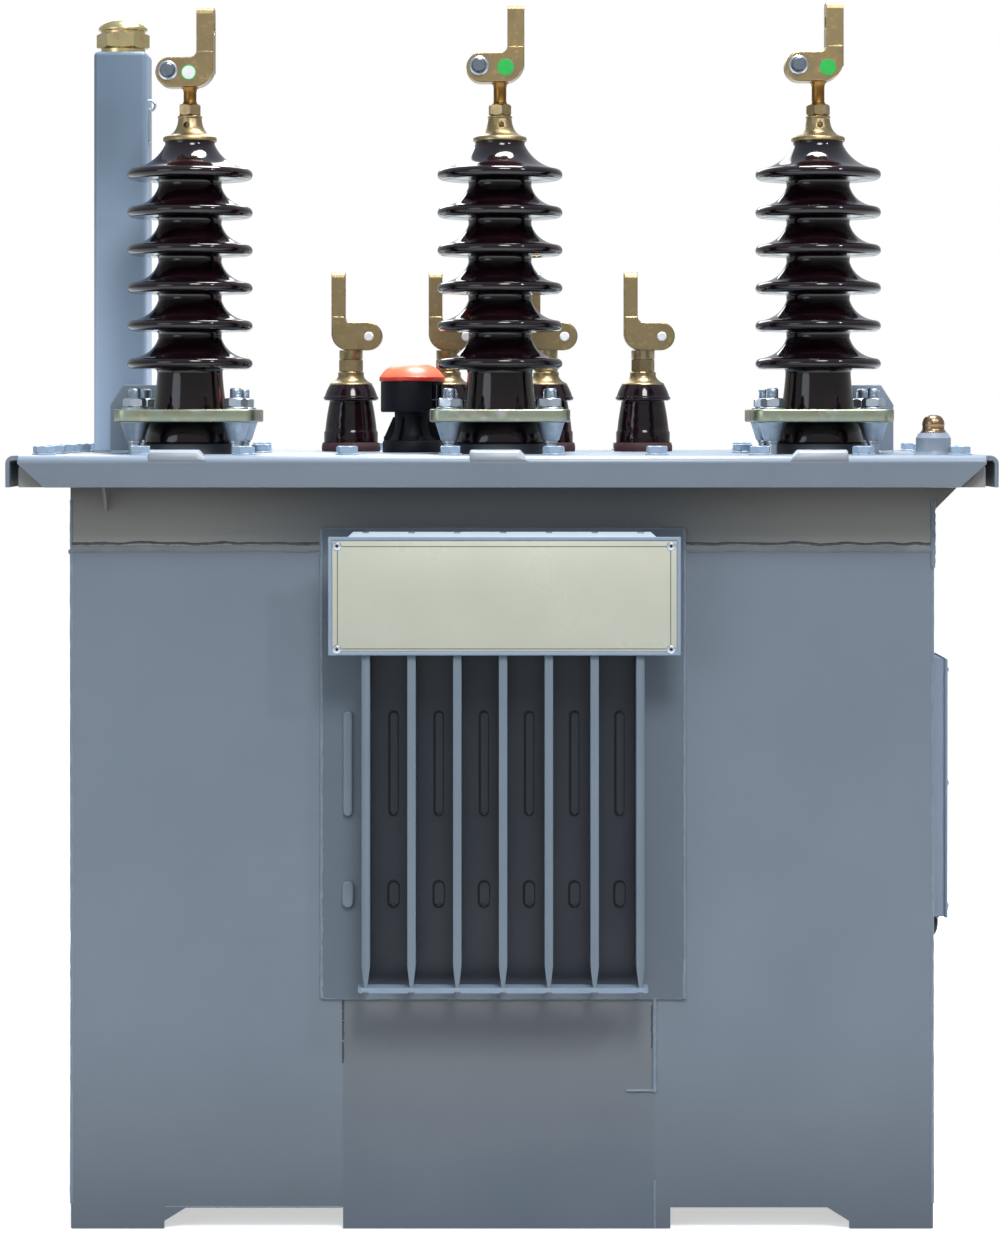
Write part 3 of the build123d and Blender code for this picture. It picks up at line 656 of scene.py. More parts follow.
# Bright zinc plate on bolts, nuts and cones: cool grey, dulled by handling.
ZINC_PLATE = Metal("zinc_plated_steel", "#B4BCC4", "#98A2AD", 0.36, 10.0, 1.0, 0.08, 0.9, 0.02)
# Zinc plate gone grey on the bolts of the terminals.
DULL_ZINC = Metal("zinc_plate_dull", "#6A707A", "#565C66", 0.46, 8.0, 1.0, 0.06, 0.9, 0.02)
# Cast brass of the terminals: yellow-brown, fine sand skin.
CAST_BRASS = Metal(
    "brass_cast", "#978666", "#84724F", 0.38, 18.0, 1.1, 0.07, 1.1, 0.05, fleck="#A58E68", fleck_mm=5.0,
)
# Threaded bronze stems between the caps and the terminals: darker, golden brown.
STEM_BRONZE = Metal("bronze_stem", "#7D5C2F", "#694820", 0.34, 9.0, 1.1, 0.07, 0.8, 0.03)
# Turned brass of plugs and caps: paler and smoother.
TURNED_BRASS = Metal(
    "brass_turned", "#CBBE94", "#B3A271", 0.30, 12.0, 1.1, 0.06, 0.8, 0.02,
    stretch=(0.15, 0.15, 2.0), fleck="#C98F7A", fleck_mm=9.0,
)
# The same brass, browned, on the pocket's plug.
BROWNED_BRASS = Metal("brass_browned", "#8F775F", "#7B644D", 0.30, 10.0, 1.1, 0.06, 0.8, 0.02)
# Cork-filled rubber under the low bushings: dark red-brown and dull.
CORK_RUBBER = Finish("cork_rubber", "#472629", "#391D21", 0.7, 6.0, 1.2, 0.05, 1.0, 0.12)
# Black nitrile sheet between the rim and the lid.
NITRILE = Finish("nitrile_sheet", "#2B2A28", "#35332F", 0.65, 20.0)
# Glass-filled black nylon, moulded: satin with a fine spark texture.
BLACK_NYLON = Finish("black_nylon", "#080A11", "#0D0F16", 0.50, 20.0, 1.0, 0.05, 0.9, 0.04, ior=1.25)
# Orange ABS, moulded, lighter above and deep red towards its rim.
ORANGE_ABS = FadedEnamel(
    "orange_abs", "#F06A4A", "#E55F3F", 0.36, 25.0, 1.0, 0.04, 1.5, 0.01,
    other_tone="#C4281C", from_mm=815.0, to_mm=808.5, strength=1.0,
)
# Cream stove enamel on the bare sign plate, with a trace of rain dust.
SIGN_ENAMEL = Finish(
    "sign_cream_enamel", "#CDCDBC", "#C3C4B3", 0.30, 70.0, 0.9, grain_height_mm=0.01, swell_mm=110.0,
    swell_height_mm=0.5,
)
# Dark screen-printed line round the sign.
SIGN_LINE = Finish("sign_line_ink", "#5A605C", "#6C726D", 0.5, 10.0, 1.0, 0.03)
# Bare aluminium of the pop rivets.
RIVET_ALUMINIUM = Metal("aluminium_rivet", "#A9AEB3", "#949AA1", 0.42, 3.0, 1.0, 0.06, 0.6)
# Dark steel of the rivets' broken mandrels.
DARK_STEEL = Metal("dark_steel", "#2A2C30", "#1D1E22", 0.5, 3.0, grain_mm=0.6)
# Green vinyl of the bare round stickers.
GREEN_VINYL = Finish("green_vinyl", "#2FBF55", "#28AE4B", 0.32, 8.0, 1.0, 0.04, grain_height_mm=0.01)
# White vinyl of the bare sticker inside its green ring.
WHITE_VINYL = Finish("white_vinyl", "#F2F5F0", "#E4E8E2", 0.35, 8.0, 1.0, 0.04, grain_height_mm=0.01)


def hand_over(piece: Piece, finish: Finish, slot: str, *stands_for: str) -> Piece:
    """Dress a finished piece, tie it to the body and hide the nodes that it stands for.

    Args:
        piece: the piece.
        finish: its finish.
        slot: the record's material slot; not used.
        stands_for: CAD nodes that it replaces.

    Returns:
        The piece.
    """
    if finish.name not in [m.name for m in piece.data.materials if m]:
        piece.data.materials.clear()
        piece.data.materials.append(finish.material())
    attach(piece, BODY)
    if stands_for:
        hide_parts(*stands_for)
    LOG.info("%s: %d faces, %s", piece.name, len(piece.data.polygons), finish.name)
    return piece


def hand_over_groups(groups: dict[str, list[Piece]], *rows: tuple) -> None:
    """Join groups of pieces and hand each over.

    Args:
        groups: the pieces, by the name of the whole.
        rows: name, finish, slot and replaced nodes of each whole.
    """
    for name, finish, slot, *stands_for in rows:
        hand_over(join(groups[name], name), finish, slot, *stands_for)


def dress_node(name: str, finish: Finish) -> None:
    """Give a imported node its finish."""
    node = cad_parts[name]
    node.data.materials.clear()
    node.data.materials.append(finish.material())
    LOG.info("%s: packed node, %s", name, finish.name)


@dataclass(frozen=True)
class Levels:
    """Planes and levels in mm that the sub-assemblies share."""

    side_x: float = 410.0
    front_y: float = -220.0
    collar_z: float = 644.0
    rim_top: float = 727.0
    lid_x: float = 465.0
    lid_y: float = 275.0
    lid_top: float = 735.0
    fin_tip: float = -265.0


AT = Levels()


@dataclass
class Lid:
    """The folded lid with its bolts and the tabs on its front edge."""

    sheet: float = 4.0
    bend: float = 8.0
    drop: float = 30.0
    relief: tuple[float, float] = (7.0, 12.5)
    mitre: tuple[float, float] = (1.0, 25.0)
    bolt_flats: float = 18.0
    washer: float = 11.2
    washer_thick: float = 1.6
    head_high: float = 7.0
    nut_low: float = 9.6
    front_bolts: tuple[float, ...] = (-432.0, -341.0, -243.5, -146.1, -48.7, 48.7, 146.1, 243.5, 341.0, 432.0)
    rear_bolts: tuple[float, ...] = (-393.0, -262.0, -131.0, 0.0, 131.0, 262.0, 393.0)
    side_bolts: tuple[float, ...] = (-146.0, -48.0, 48.0, 146.0)
    row_y: float = 242.0
    column_x: float = 434.0
    bolt_turn: float = 37.0
    core_bolts: tuple[Point, ...] = ((-243.5, -19.0, 0.0), (243.5, -19.0, 0.0))
    core_turn: float = 12.0
    tab_x: tuple[float, ...] = (-302.8, -2.3, 295.8)
    tab_long: float = 56.0
    tab_deep: float = 14.4
    tab_high: float = 740.3
    tab_low: float = 729.0
    tab_slope: float = 9.0
    tab_round: float = 7.5

    def build_sheet(self) -> Piece:
        """Fold the lid from one flat sheet: bend its four edges down and turn their ends in."""
        flat = (AT.lid_x - self.bend, AT.lid_y - self.bend)
        reach = (AT.lid_x - self.relief[1], AT.lid_y - self.relief[0])
        clear()
        bpy.ops.mesh.primitive_plane_add(size=1, location=(0, 0, AT.lid_top * MM))
        bpy.context.object.scale = (2 * flat[0] * MM, 2 * flat[1] * MM, 1)
        piece = new_piece("lid_sheet")
        hinge = (AT.lid_top - self.bend) * MM
        with editing(piece):
            for axis, sign in SIDES:
                normal = Vector((1 - axis, axis, 0))
                bpy.ops.mesh.select_all(action="SELECT")
                bpy.ops.mesh.bisect(plane_co=normal * (sign * reach[axis] * MM), plane_no=normal)
            for axis, sign in SIDES:
                self.fold(axis, sign, flat[axis] * MM, reach[1 - axis] * MM, hinge)
            outward()
        modify(piece, "SOLIDIFY", thickness=self.sheet * MM, offset=-1.0, use_even_offset=True)
        return smooth(soften(piece, 0.7, 2, 50), 30)

    def fold(self, axis: int, sign: int, edge: float, reach: float, hinge: float) -> None:
        """Bend one edge of the sheet down and draw it out to its full height.

        Args:
            axis: 0 for the sides, 1 for the front and the rear.
            sign: which side of the lid.
            edge: where the flat sheet ends, in metres.
            reach: half length of the flange, in metres.
            hinge: level of the bend's centre, in metres.
        """
        other = 1 - axis
        near = 1e-6
        pick(Element.EDGE, lambda item: all(
            abs(v.co[axis] - sign * edge) < near and abs(v.co[other]) < reach + near for v in item.verts))
        centre, spindle, shrink = [0.0, 0.0, hinge], [0.0, 0.0, 0.0], [1.0, 1.0, 1.0]
        centre[axis], spindle[other] = sign * edge, 1.0
        turn = math.pi / 2 * (sign if axis == 1 else -sign)
        bpy.ops.mesh.spin(steps=8, angle=turn, center=centre, axis=spindle, use_auto_merge=False)
        down = (0, 0, (self.bend - self.drop) * MM)
        bpy.ops.mesh.extrude_edges_move(TRANSFORM_OT_translate={"value": down})
        shrink[other] = (reach - self.mitre[axis] * MM) / reach
        bpy.ops.transform.resize(value=shrink, center_override=(0, 0, 0))

    def build_bolts(self) -> list[Piece]:
        """Model one lid bolt with its washers and nut, and set it round the lid and over the core."""
        top, under, disc, thick = AT.lid_top, AT.rim_top - self.sheet, self.washer, self.washer_thick
        bolt = join([
            nut("bolt_head", top + thick, top + thick + self.head_high, self.bolt_flats),
            turned("bolt_washer", [(disc, 0), (disc, 1.2), (disc - 0.5, thick)], top, 32),
            nut("bolt_nut", under - self.nut_low, under - thick, self.bolt_flats),
            turned("bolt_shank", [(4.2, -13), (5, -12), (5, -thick), (disc, -thick), (disc, 0)], under, 24),
        ], "lid_bolt_model")
        places = [(x, -self.row_y, 0) for x in self.front_bolts]
        places += [(x, self.row_y, 0) for x in self.rear_bolts]
        places += [(sign * self.column_x, y, 0) for sign in (-1, 1) for y in self.side_bolts]
        rim = [
            again(bolt, "lid_bolt", place, self.bolt_turn * number % 60)
            for number, place in enumerate(places)
        ]
        core = [again(bolt, "core_bolt", place, self.core_turn) for place in self.core_bolts]
        discard(bolt)
        return [join(rim, "lid_bolts"), join(core, "core_bolts")]

    def build_tabs(self) -> Piece:
        """Cut the tabs that sit over the front edge, with sloping ends."""
        half, low, high, slope = self.tab_long / 2, self.tab_low, self.tab_high, self.tab_slope
        front = -AT.lid_y + 0.3
        outline = (
            (-half, low), (half, low), (half, high - slope), (half - slope, high), (1.5 - half, high),
            (-half, high - 1.5),
        )
        tabs = []
        for x in self.tab_x:
            side = -1 if x == max(self.tab_x) else 1
            tab = upright("tab", [(x + side * dx, z) for dx, z in outline], front, self.tab_deep)
            round_off(tab, front_rim(front + 0.1, low + 0.1), self.tab_round, 2)
            hollow = cube("tab_hollow", (x - 40, front + 6, low - 2), (x + 40, front + 20, AT.lid_top + 0.4))
            tabs.append(smooth(soften(cut(tab, hollow), 1.0, 3), 40))
        return join(tabs, "lid_edge_tabs_dressed")

    def make(self) -> None:
        """Build and dress the lid."""
        hand_over(self.build_sheet(), TANK_ENAMEL, "tank_paint", "lid")
        for bolts in self.build_bolts():
            hand_over(bolts, PALE_ENAMEL, "tank_paint")
        hand_over(self.build_tabs(), TAB_ENAMEL, "tank_paint", "lid_edge_tabs")


@dataclass
class TerminalClamp:
    """A cast brass clamp on a stem, with an upright bar for the cable."""

    left: float = 33.0
    right: float = 24.0
    high: float = 29.5
    deep: float = 26.0
    heel: float = 20.0
    bar_wide: float = 16.7
    bar_high: float = 48.5
    bar_deep: float = 30.0
    bar_round: float = 7.0
    bar_step: float = 0.9
    fillet: float = 6.0
    hole: float = 6.5
    hole_drop: float = 20.0
    bolt: tuple[float, float] = (-20.5, 16.0)
    bolt_turn: float = 17.1887
    bolt_flats: float = 17.0
    locked: bool = True

    def body(self, side: float = -1) -> Piece:
        """Cast the clamp round the Z axis, its foot on the ground plane, its bar to the right.

        Args:
            side: -1 where the bar is milled flush in front, 1 where behind.

        Returns:
            Clamp and bar in one piece.
        """
        eye, half, heel, fillet = self.high / 2, self.deep / 2, self.heel, self.fillet
        bar_left = self.right - self.bar_wide
        base = upright("clamp_body", [
            *arc((eye - self.left, eye), eye, 270, 90, 16),
            *arc((bar_left - fillet, self.high + fillet), fillet, -90, 0, 6),
            (self.right, self.high + fillet),
            *arc((self.right - heel, heel), heel, 0, -90, 8),
        ], half, -self.deep)
        soften(base, 2.2, 3, 40)
        top, turn = self.high + self.bar_high, self.bar_round
        face, back = half - self.bar_step, self.bar_deep / 2
        tongue = [
            (-face, eye), (back, eye), *arc((back - turn, top - turn), turn, 0, 90, 6),
            *arc((turn - face, top - turn), turn, 90, 180, 6),
        ]
        bar = plate("clamp_bar", [(bar_left, -side * y, z) for y, z in tongue], (self.bar_wide, 0, 0))
        cut(bar, rod("clamp_drill", (self.right, 0, top - self.hole_drop), self.hole, 60, "X", 32))
        soften(bar, 2.6, 3, 40)
        clamp = smooth(cut(base, bar, "UNION"), 30)
        return modify(clamp, "WEIGHTED_NORMAL", keep_sharp=True)

    def screw(self) -> Piece:
        """The hexagon bolt across the clamp, head in front: head, washer, end and, if there is one, nut."""
        half, wide, disc = self.deep / 2, self.bolt_flats * 0.56, self.bolt_flats * 0.45
        head = join([
            nut("clamp_bolt_head", half + 2.6, half + 7.6, disc * 1.6, 1.6),
            turned("clamp_flange", [(disc, 2), (disc, 2.8), (0, 3)], half),
        ], "clamp_head")
        head.data.materials.append(DULL_ZINC.material())
        washer = turned("clamp_washer", [(wide, 0), (wide, 0.9), (wide - 1.6, 2.2)], half)
        washer.data.materials.append(ZINC_PLATE.material())
        reach = 11 if self.locked else 2.4
        parts = [head, washer, turned("clamp_end", [(3.9, -reach), (4.9, 1 - reach), (4.9, 1)], -half)]
        if self.locked:
            parts.append(nut("clamp_nut", -half - 8, -half, self.bolt_flats, 1.2))
        bolt = put(join(parts, "clamp_bolt"), turn=self.bolt_turn)
        return put(bolt, (self.bolt[0], 0, self.bolt[1]), 90, "X")


@dataclass
class HighBushings:
    """The row of three tall bushings with clamp rings, studs, caps and terminals."""

    axes: tuple[float, ...] = (-307.0, -2.0, 311.0)
    row_y: float = -109.0
    seat: float = 46.0
    seat_high: float = 10.0
    foot: float = 44.0
    shoulder: float = 38.5
    shoulder_high: float = 31.0
    stem_low: float = 35.5
    stem_high: float = 32.0
    core: float = 31.0
    back_rise: float = 20.0
    shed: float = 61.5
    rim: float = 5.2
    first_shed: float = 88.3
    pitch: float = 37.2
    sheds: int = 6
    neck: float = 24.4
    top: float = 306.6
    ring_side: float = 136.0
    ring_thick: float = 12.5
    ring_corner: float = 12.0
    stud_half: float = 49.0
    stud_turn: float = 23.0
    threads: int = 6
    lift: tuple[float, ...] = (0.0, 4.6, 5.6)
    cap_high: float = 25.3
    lock_high: float = 11.4
    stem_long: float = 16.5
    vent_turn: tuple[float, ...] = (-11.0, 6.0, 3.0)
    lock_turn: tuple[float, ...] = (36.0, 39.0, 8.0)
    labels: tuple[Point, ...] = ((-0.2, 14.0, 7.6), (5.4, 14.6, 8.1), (8.4, 13.6, 8.1))
    clamp: TerminalClamp = field(default_factory=TerminalClamp)

    @property
    def ring_low(self) -> float:
        """Underside of the clamp rings."""
        return AT.lid_top + self.shoulder_high

    @property
    def cap_low(self) -> float:
        """Underside of the caps."""
        return AT.lid_top + self.top

    @property
    def stem_foot(self) -> float:
        """Top of the caps' nuts, where the stems begin."""
        return self.cap_low + self.cap_high + self.lock_high

    @property
    def terminal_low(self) -> float:
        """Underside of the lowest terminal."""
        return self.stem_foot + self.stem_long

    def porcelain_profile(self) -> list[Point]:
        """Half section of a bushing: foot, stem, six sheds with hollow backs, and neck."""
        base, ring_top = AT.lid_top + self.seat_high, self.ring_low + self.ring_thick
        first, foot, stem = AT.lid_top + self.first_shed, self.foot, self.stem_low
        points = [
            (foot - 1.4, base), (foot, base + 1.4),
            *bow((foot, base + 3), (foot - 2.0, base + 12.5), (self.shoulder + 0.3, base + 19.6), 6),
            (self.shoulder - 1, self.ring_low), (stem, self.ring_low), (stem, ring_top + 1),
            *bow((stem - 0.2, ring_top + 3), (33.0, first - 22), (self.stem_high, first - self.rim - 4.5), 6),
        ]
        for number in range(self.sheds):
            below = self.core if number else self.stem_high
            points += self.shed_profile(first + number * self.pitch, below, number == self.sheds - 1)
        return points + [(self.neck, self.cap_low)]

    def shed_profile(self, level: float, below: float, last: bool) -> list[Point]:
        """Half section of one shed.

        Args:
            level: level of its rim's middle in mm.
            below: radius of the stem under it.
            last: whether the neck follows instead of another shed.

        Returns:
            Points from the stem below to the end of the shed's hollow back.
        """
        under, low = level - self.rim, level + self.rim
        inner = self.neck if last else self.core
        straight = self.cap_low - 3 if last else low + self.back_rise
        bend = (0.38, 0.37) if last else (0.34, 0.36)
        reach = self.shed - self.rim - inner
        via = (inner + bend[0] * reach, low + bend[1] * (straight - low))
        return [
            *bow((below, under - 3.6), (below + 1.2, under - 0.6), (below + 4.4, under + 0.5), 5),
            (below + 14, under + 0.9), (self.shed - self.rim - 4, under + 0.4),
            *arc((self.shed - self.rim, level), self.rim, -96, 84, 12),
            *bow((inner + reach - 1.6, low + 0.25), via, (inner, straight), 12),
        ]

    def build_ring(self) -> Piece:
        """Cut one square clamp ring with round corners and a bore."""
        half, low = self.ring_side / 2, self.ring_low
        ring = cube("ring", (-half, -half, low), (half, half, low + self.ring_thick))
        round_off(ring, tall, self.ring_corner, 8)
        cut(ring, rod("ring_bore", (0, 0, low + 6), self.stem_low + 0.6, 60, "Z", 80))
        return smooth(soften(ring, 1.5, 3), 40)

    def build_stud(self) -> Piece:
        """Model one clamp stud: neck, conical foot, washer, nut and threaded end."""
        high, top = self.shoulder_high, self.ring_low + self.ring_thick
        thread = [(6.0, 0.0)]
        for number in range(self.threads):
            thread += [(6.0, 10.8 + 1.2 * number), (5.45, 11.4 + 1.2 * number)]
        return join([
            turned("stud_foot", [
                (5.6, 0), (5.6, 10.4), (6.8, 11), (6.8, 13), (8.0, 13.2), (8.4, 14), (13.2, high - 1.6),
                (13.8, high - 0.8), (13.8, high),
            ], AT.lid_top),
            turned("stud_washer", [(12.4, 0), (12.4, 1.3), (11.8, 1.8)], top),
            nut("stud_nut", top + 1.8, top + 10.8, 20.0, 1.6),
            turned("stud_shank", [*thread, (6.0, 18.3), (5.2, 19.9), (4.0, 20.5)], top, 32, 25),
        ], "stud")

    def build_cap(self) -> Piece:
        """Turn one trumpet-shaped cap with its collar and drill its vent hole."""
        top = self.cap_high
        cap = lathe("cap_turned", [
            (25.6, 0), (26.3, 0.7), (26.3, 3.5), (25.6, 4.4),
            *bow((24.4, 4.9), (15.4, 10.4), (11.6, 21.8), 9),
            (11.4, top - 2.6), (12.0, top - 2.0), (12.0, top - 0.6), (11.4, top),
        ], self.cap_low, 56)
        cut(cap, rod("cap_vent", (0, -15, self.cap_low + 16.0), 3.0, 20, "Y", 24))
        return smooth(soften(cap, 0.4, 2, 55), 40)

    def build_stem(self, lift: float) -> Piece:
        """Turn the brass stem between a cap and its terminal, flared at both ends."""
        high = self.stem_long + lift
        return turned("stem", [
            (8.2, -1), (8.2, 0), (7.0, 1.2), (6.3, 3), (6.3, high - 4.5), (7.0, high - 1.8),
            (8.4, high - 0.2), (8.4, high + 1),
        ], self.stem_foot, 40, 50)

    def label(self, number: int, profile: Outline) -> Piece:
        """Turn a round sticker and put it on the front of a terminal."""
        dx, dz, _ = self.labels[number]
        front = self.row_y - self.clamp.deep / 2
        place = (self.axes[number] + dx, front, self.terminal_low + self.lift[number] + dz)
        return put(lathe("sticker", profile, 0.0, 48), place, 90, "X")

    def make(self) -> None:
        """Build the row and dress it."""
        body = turned("porcelain", self.porcelain_profile(), 0.0, 80, 40)
        ring, stud, cap = self.build_ring(), self.build_stud(), self.build_cap()
        clamp, bolt = self.clamp.body(), self.clamp.screw()
        lock = nut("cap_nut", self.stem_foot - self.lock_high, self.stem_foot, 20.5, 2.0)
        size, high = self.seat, self.seat_high
        seat = turned("seat", [
            (size + 1.5, 0), (size, 2), (size, high - 1), (size - 1, high),
        ], AT.lid_top, 72, 40)
        groups = defaultdict(list)
        for number, x in enumerate(self.axes):
            place, raised = (x, self.row_y, 0), (x, self.row_y, self.terminal_low + self.lift[number])
            porcelain = again(body, f"hv_porcelain_{number + 1}", place)
            hand_over(porcelain, PORCELAIN, "porcelain", f"hv_bushing_{number + 1}")
            for name, model, where, turn in (
                ("bushing_seats", seat, place, 0.0),
                ("clamp_rings", ring, place, 0.0),
                ("bushing_caps", cap, place, self.vent_turn[number]),
                ("bushing_caps", lock, place, self.lock_turn[number]),
                ("terminal_clamps", clamp, raised, 0.0),
                ("terminal_bolts", bolt, raised, 0.0),
            ):
                groups[name].append(again(model, name, where, turn))
            for i, j in ((-1, -1), (-1, 1), (1, -1), (1, 1)):
                corner = (x + i * self.stud_half, self.row_y + j * self.stud_half, 0)
                turn = self.stud_turn * (number + 1 + i + 2 * j)
                groups["clamp_studs"].append(again(stud, "stud", corner, turn))
            groups["terminal_stems"].append(put(self.build_stem(self.lift[number]), place))
            radius = self.labels[number][2]
            green = self.label(number, [(radius, -0.4), (radius, 0.18), (radius - 0.2, 0.3)])
            groups["green_stickers"].append(green)
        groups["white_sticker"].append(self.label(0, [(6.5, 0.1), (6.5, 0.4), (6.3, 0.5)]))
        discard(body, ring, stud, cap, lock, clamp, bolt, seat)
        hand_over_groups(
            groups,
            # The seats are dark with painted shade under the porcelain.
            ("bushing_seats", SEAM_SHADOW, "tank_paint", "hv_seats"),
            ("green_stickers", GREEN_VINYL, "orange_plastic"),
            ("white_sticker", WHITE_VINYL, "orange_plastic"),
            ("clamp_rings", PASSIVATED_ZINC, "passivated_steel", "hv_clamp_rings"),
            ("clamp_studs", ZINC_PLATE, "galvanised_steel", "hv_clamp_studs"),
            ("bushing_caps", CAST_BRASS, "brass", "hv_caps"),
            ("terminal_clamps", CAST_BRASS, "brass", "hv_terminals"),
            ("terminal_stems", STEM_BRONZE, "brass"),
            ("terminal_bolts", DULL_ZINC, "galvanised_steel"),
        )


@dataclass
class LowBushings:
    """The row of four short bushings with gaskets, caps and terminals."""

    axes: tuple[float, ...] = (-158.5, -56.7, 46.2, 148.0)
    row_y: float = 106.0
    terminal: float = 105.9
    cap_turn: float = 3.0
    clamp: TerminalClamp = field(default_factory=lambda: TerminalClamp(
        right=20.0, heel=17.0, bar_wide=14.0, bar_high=52.4, bolt=(-19.2, 14.3), locked=False))

    def build_cap(self) -> Piece:
        """Turn one cap with its nut and the sleeve under its terminal."""
        low = AT.lid_top
        return join([
            turned("low_cap", [
                (22.0, 69.0), (22.5, 69.6), (22.5, 70.5), (21.9, 71.2),
                *bow((20.8, 71.8), (16.4, 74.6), (13.6, 78.4), 5), (13.5, 80), (13.5, 82.6), (12.8, 83.3),
            ], low, 48, 40),
            nut("low_nut", low + 83.3, low + 96.3, 21.6, 0.6),
            turned("low_sleeve", [(11.8, 96.3), (12.2, 96.8), (12.2, self.terminal)], low, 40, 40),
        ], "low_cap_model")

    def make(self) -> None:
        """Build the row and dress it."""
        low = AT.lid_top
        gasket = turned("gasket", [(30.2, 0), (30.8, 3), (30.6, 6.5), (29.6, 9.4)], low, 48, 40)
        body = turned("low_porcelain", [
            (27.6, 9.4), (28.2, 10), (28.2, 20), (27.4, 21.4),
            *bow((27.0, 22.2), (25.2, 37), (22.6, 51.4), 6),
            (22.8, 52.4), (26.4, 53.2), *arc((26.6, 55.6), 2.3, -80, 60, 6),
            *bow((27.4, 58.4), (25.6, 63.4), (22.9, 69.0), 5),
        ], low, 64, 40)
        cap = self.build_cap()
        clamp, bolt = put(self.clamp.body(1), turn=180), put(self.clamp.screw(), turn=180)
        groups = defaultdict(list)
        for number, x in enumerate(self.axes, start=1):
            place, raised = (x, self.row_y, 0), (x, self.row_y, low + self.terminal)
            porcelain = again(body, f"lv_porcelain_{number}", place)
            hand_over(porcelain, PORCELAIN, "porcelain", f"lv_bushing_{number}")
            for name, model, where, turn in (
                ("cork_gaskets", gasket, place, 0.0),
                ("low_caps", cap, place, self.cap_turn * number),
                ("low_clamps", clamp, raised, 0.0),
                ("low_clamp_bolts", bolt, raised, 0.0),
            ):
                groups[name].append(again(model, name, where, turn))
        discard(gasket, body, cap, clamp, bolt)
        hand_over_groups(
            groups,
            ("cork_gaskets", CORK_RUBBER, "rubber", "lv_gaskets"),
            ("low_caps", CAST_BRASS, "brass", "lv_caps"),
            ("low_clamps", CAST_BRASS, "brass", "lv_terminals"),
            ("low_clamp_bolts", ZINC_PLATE, "galvanised_steel"),
        )


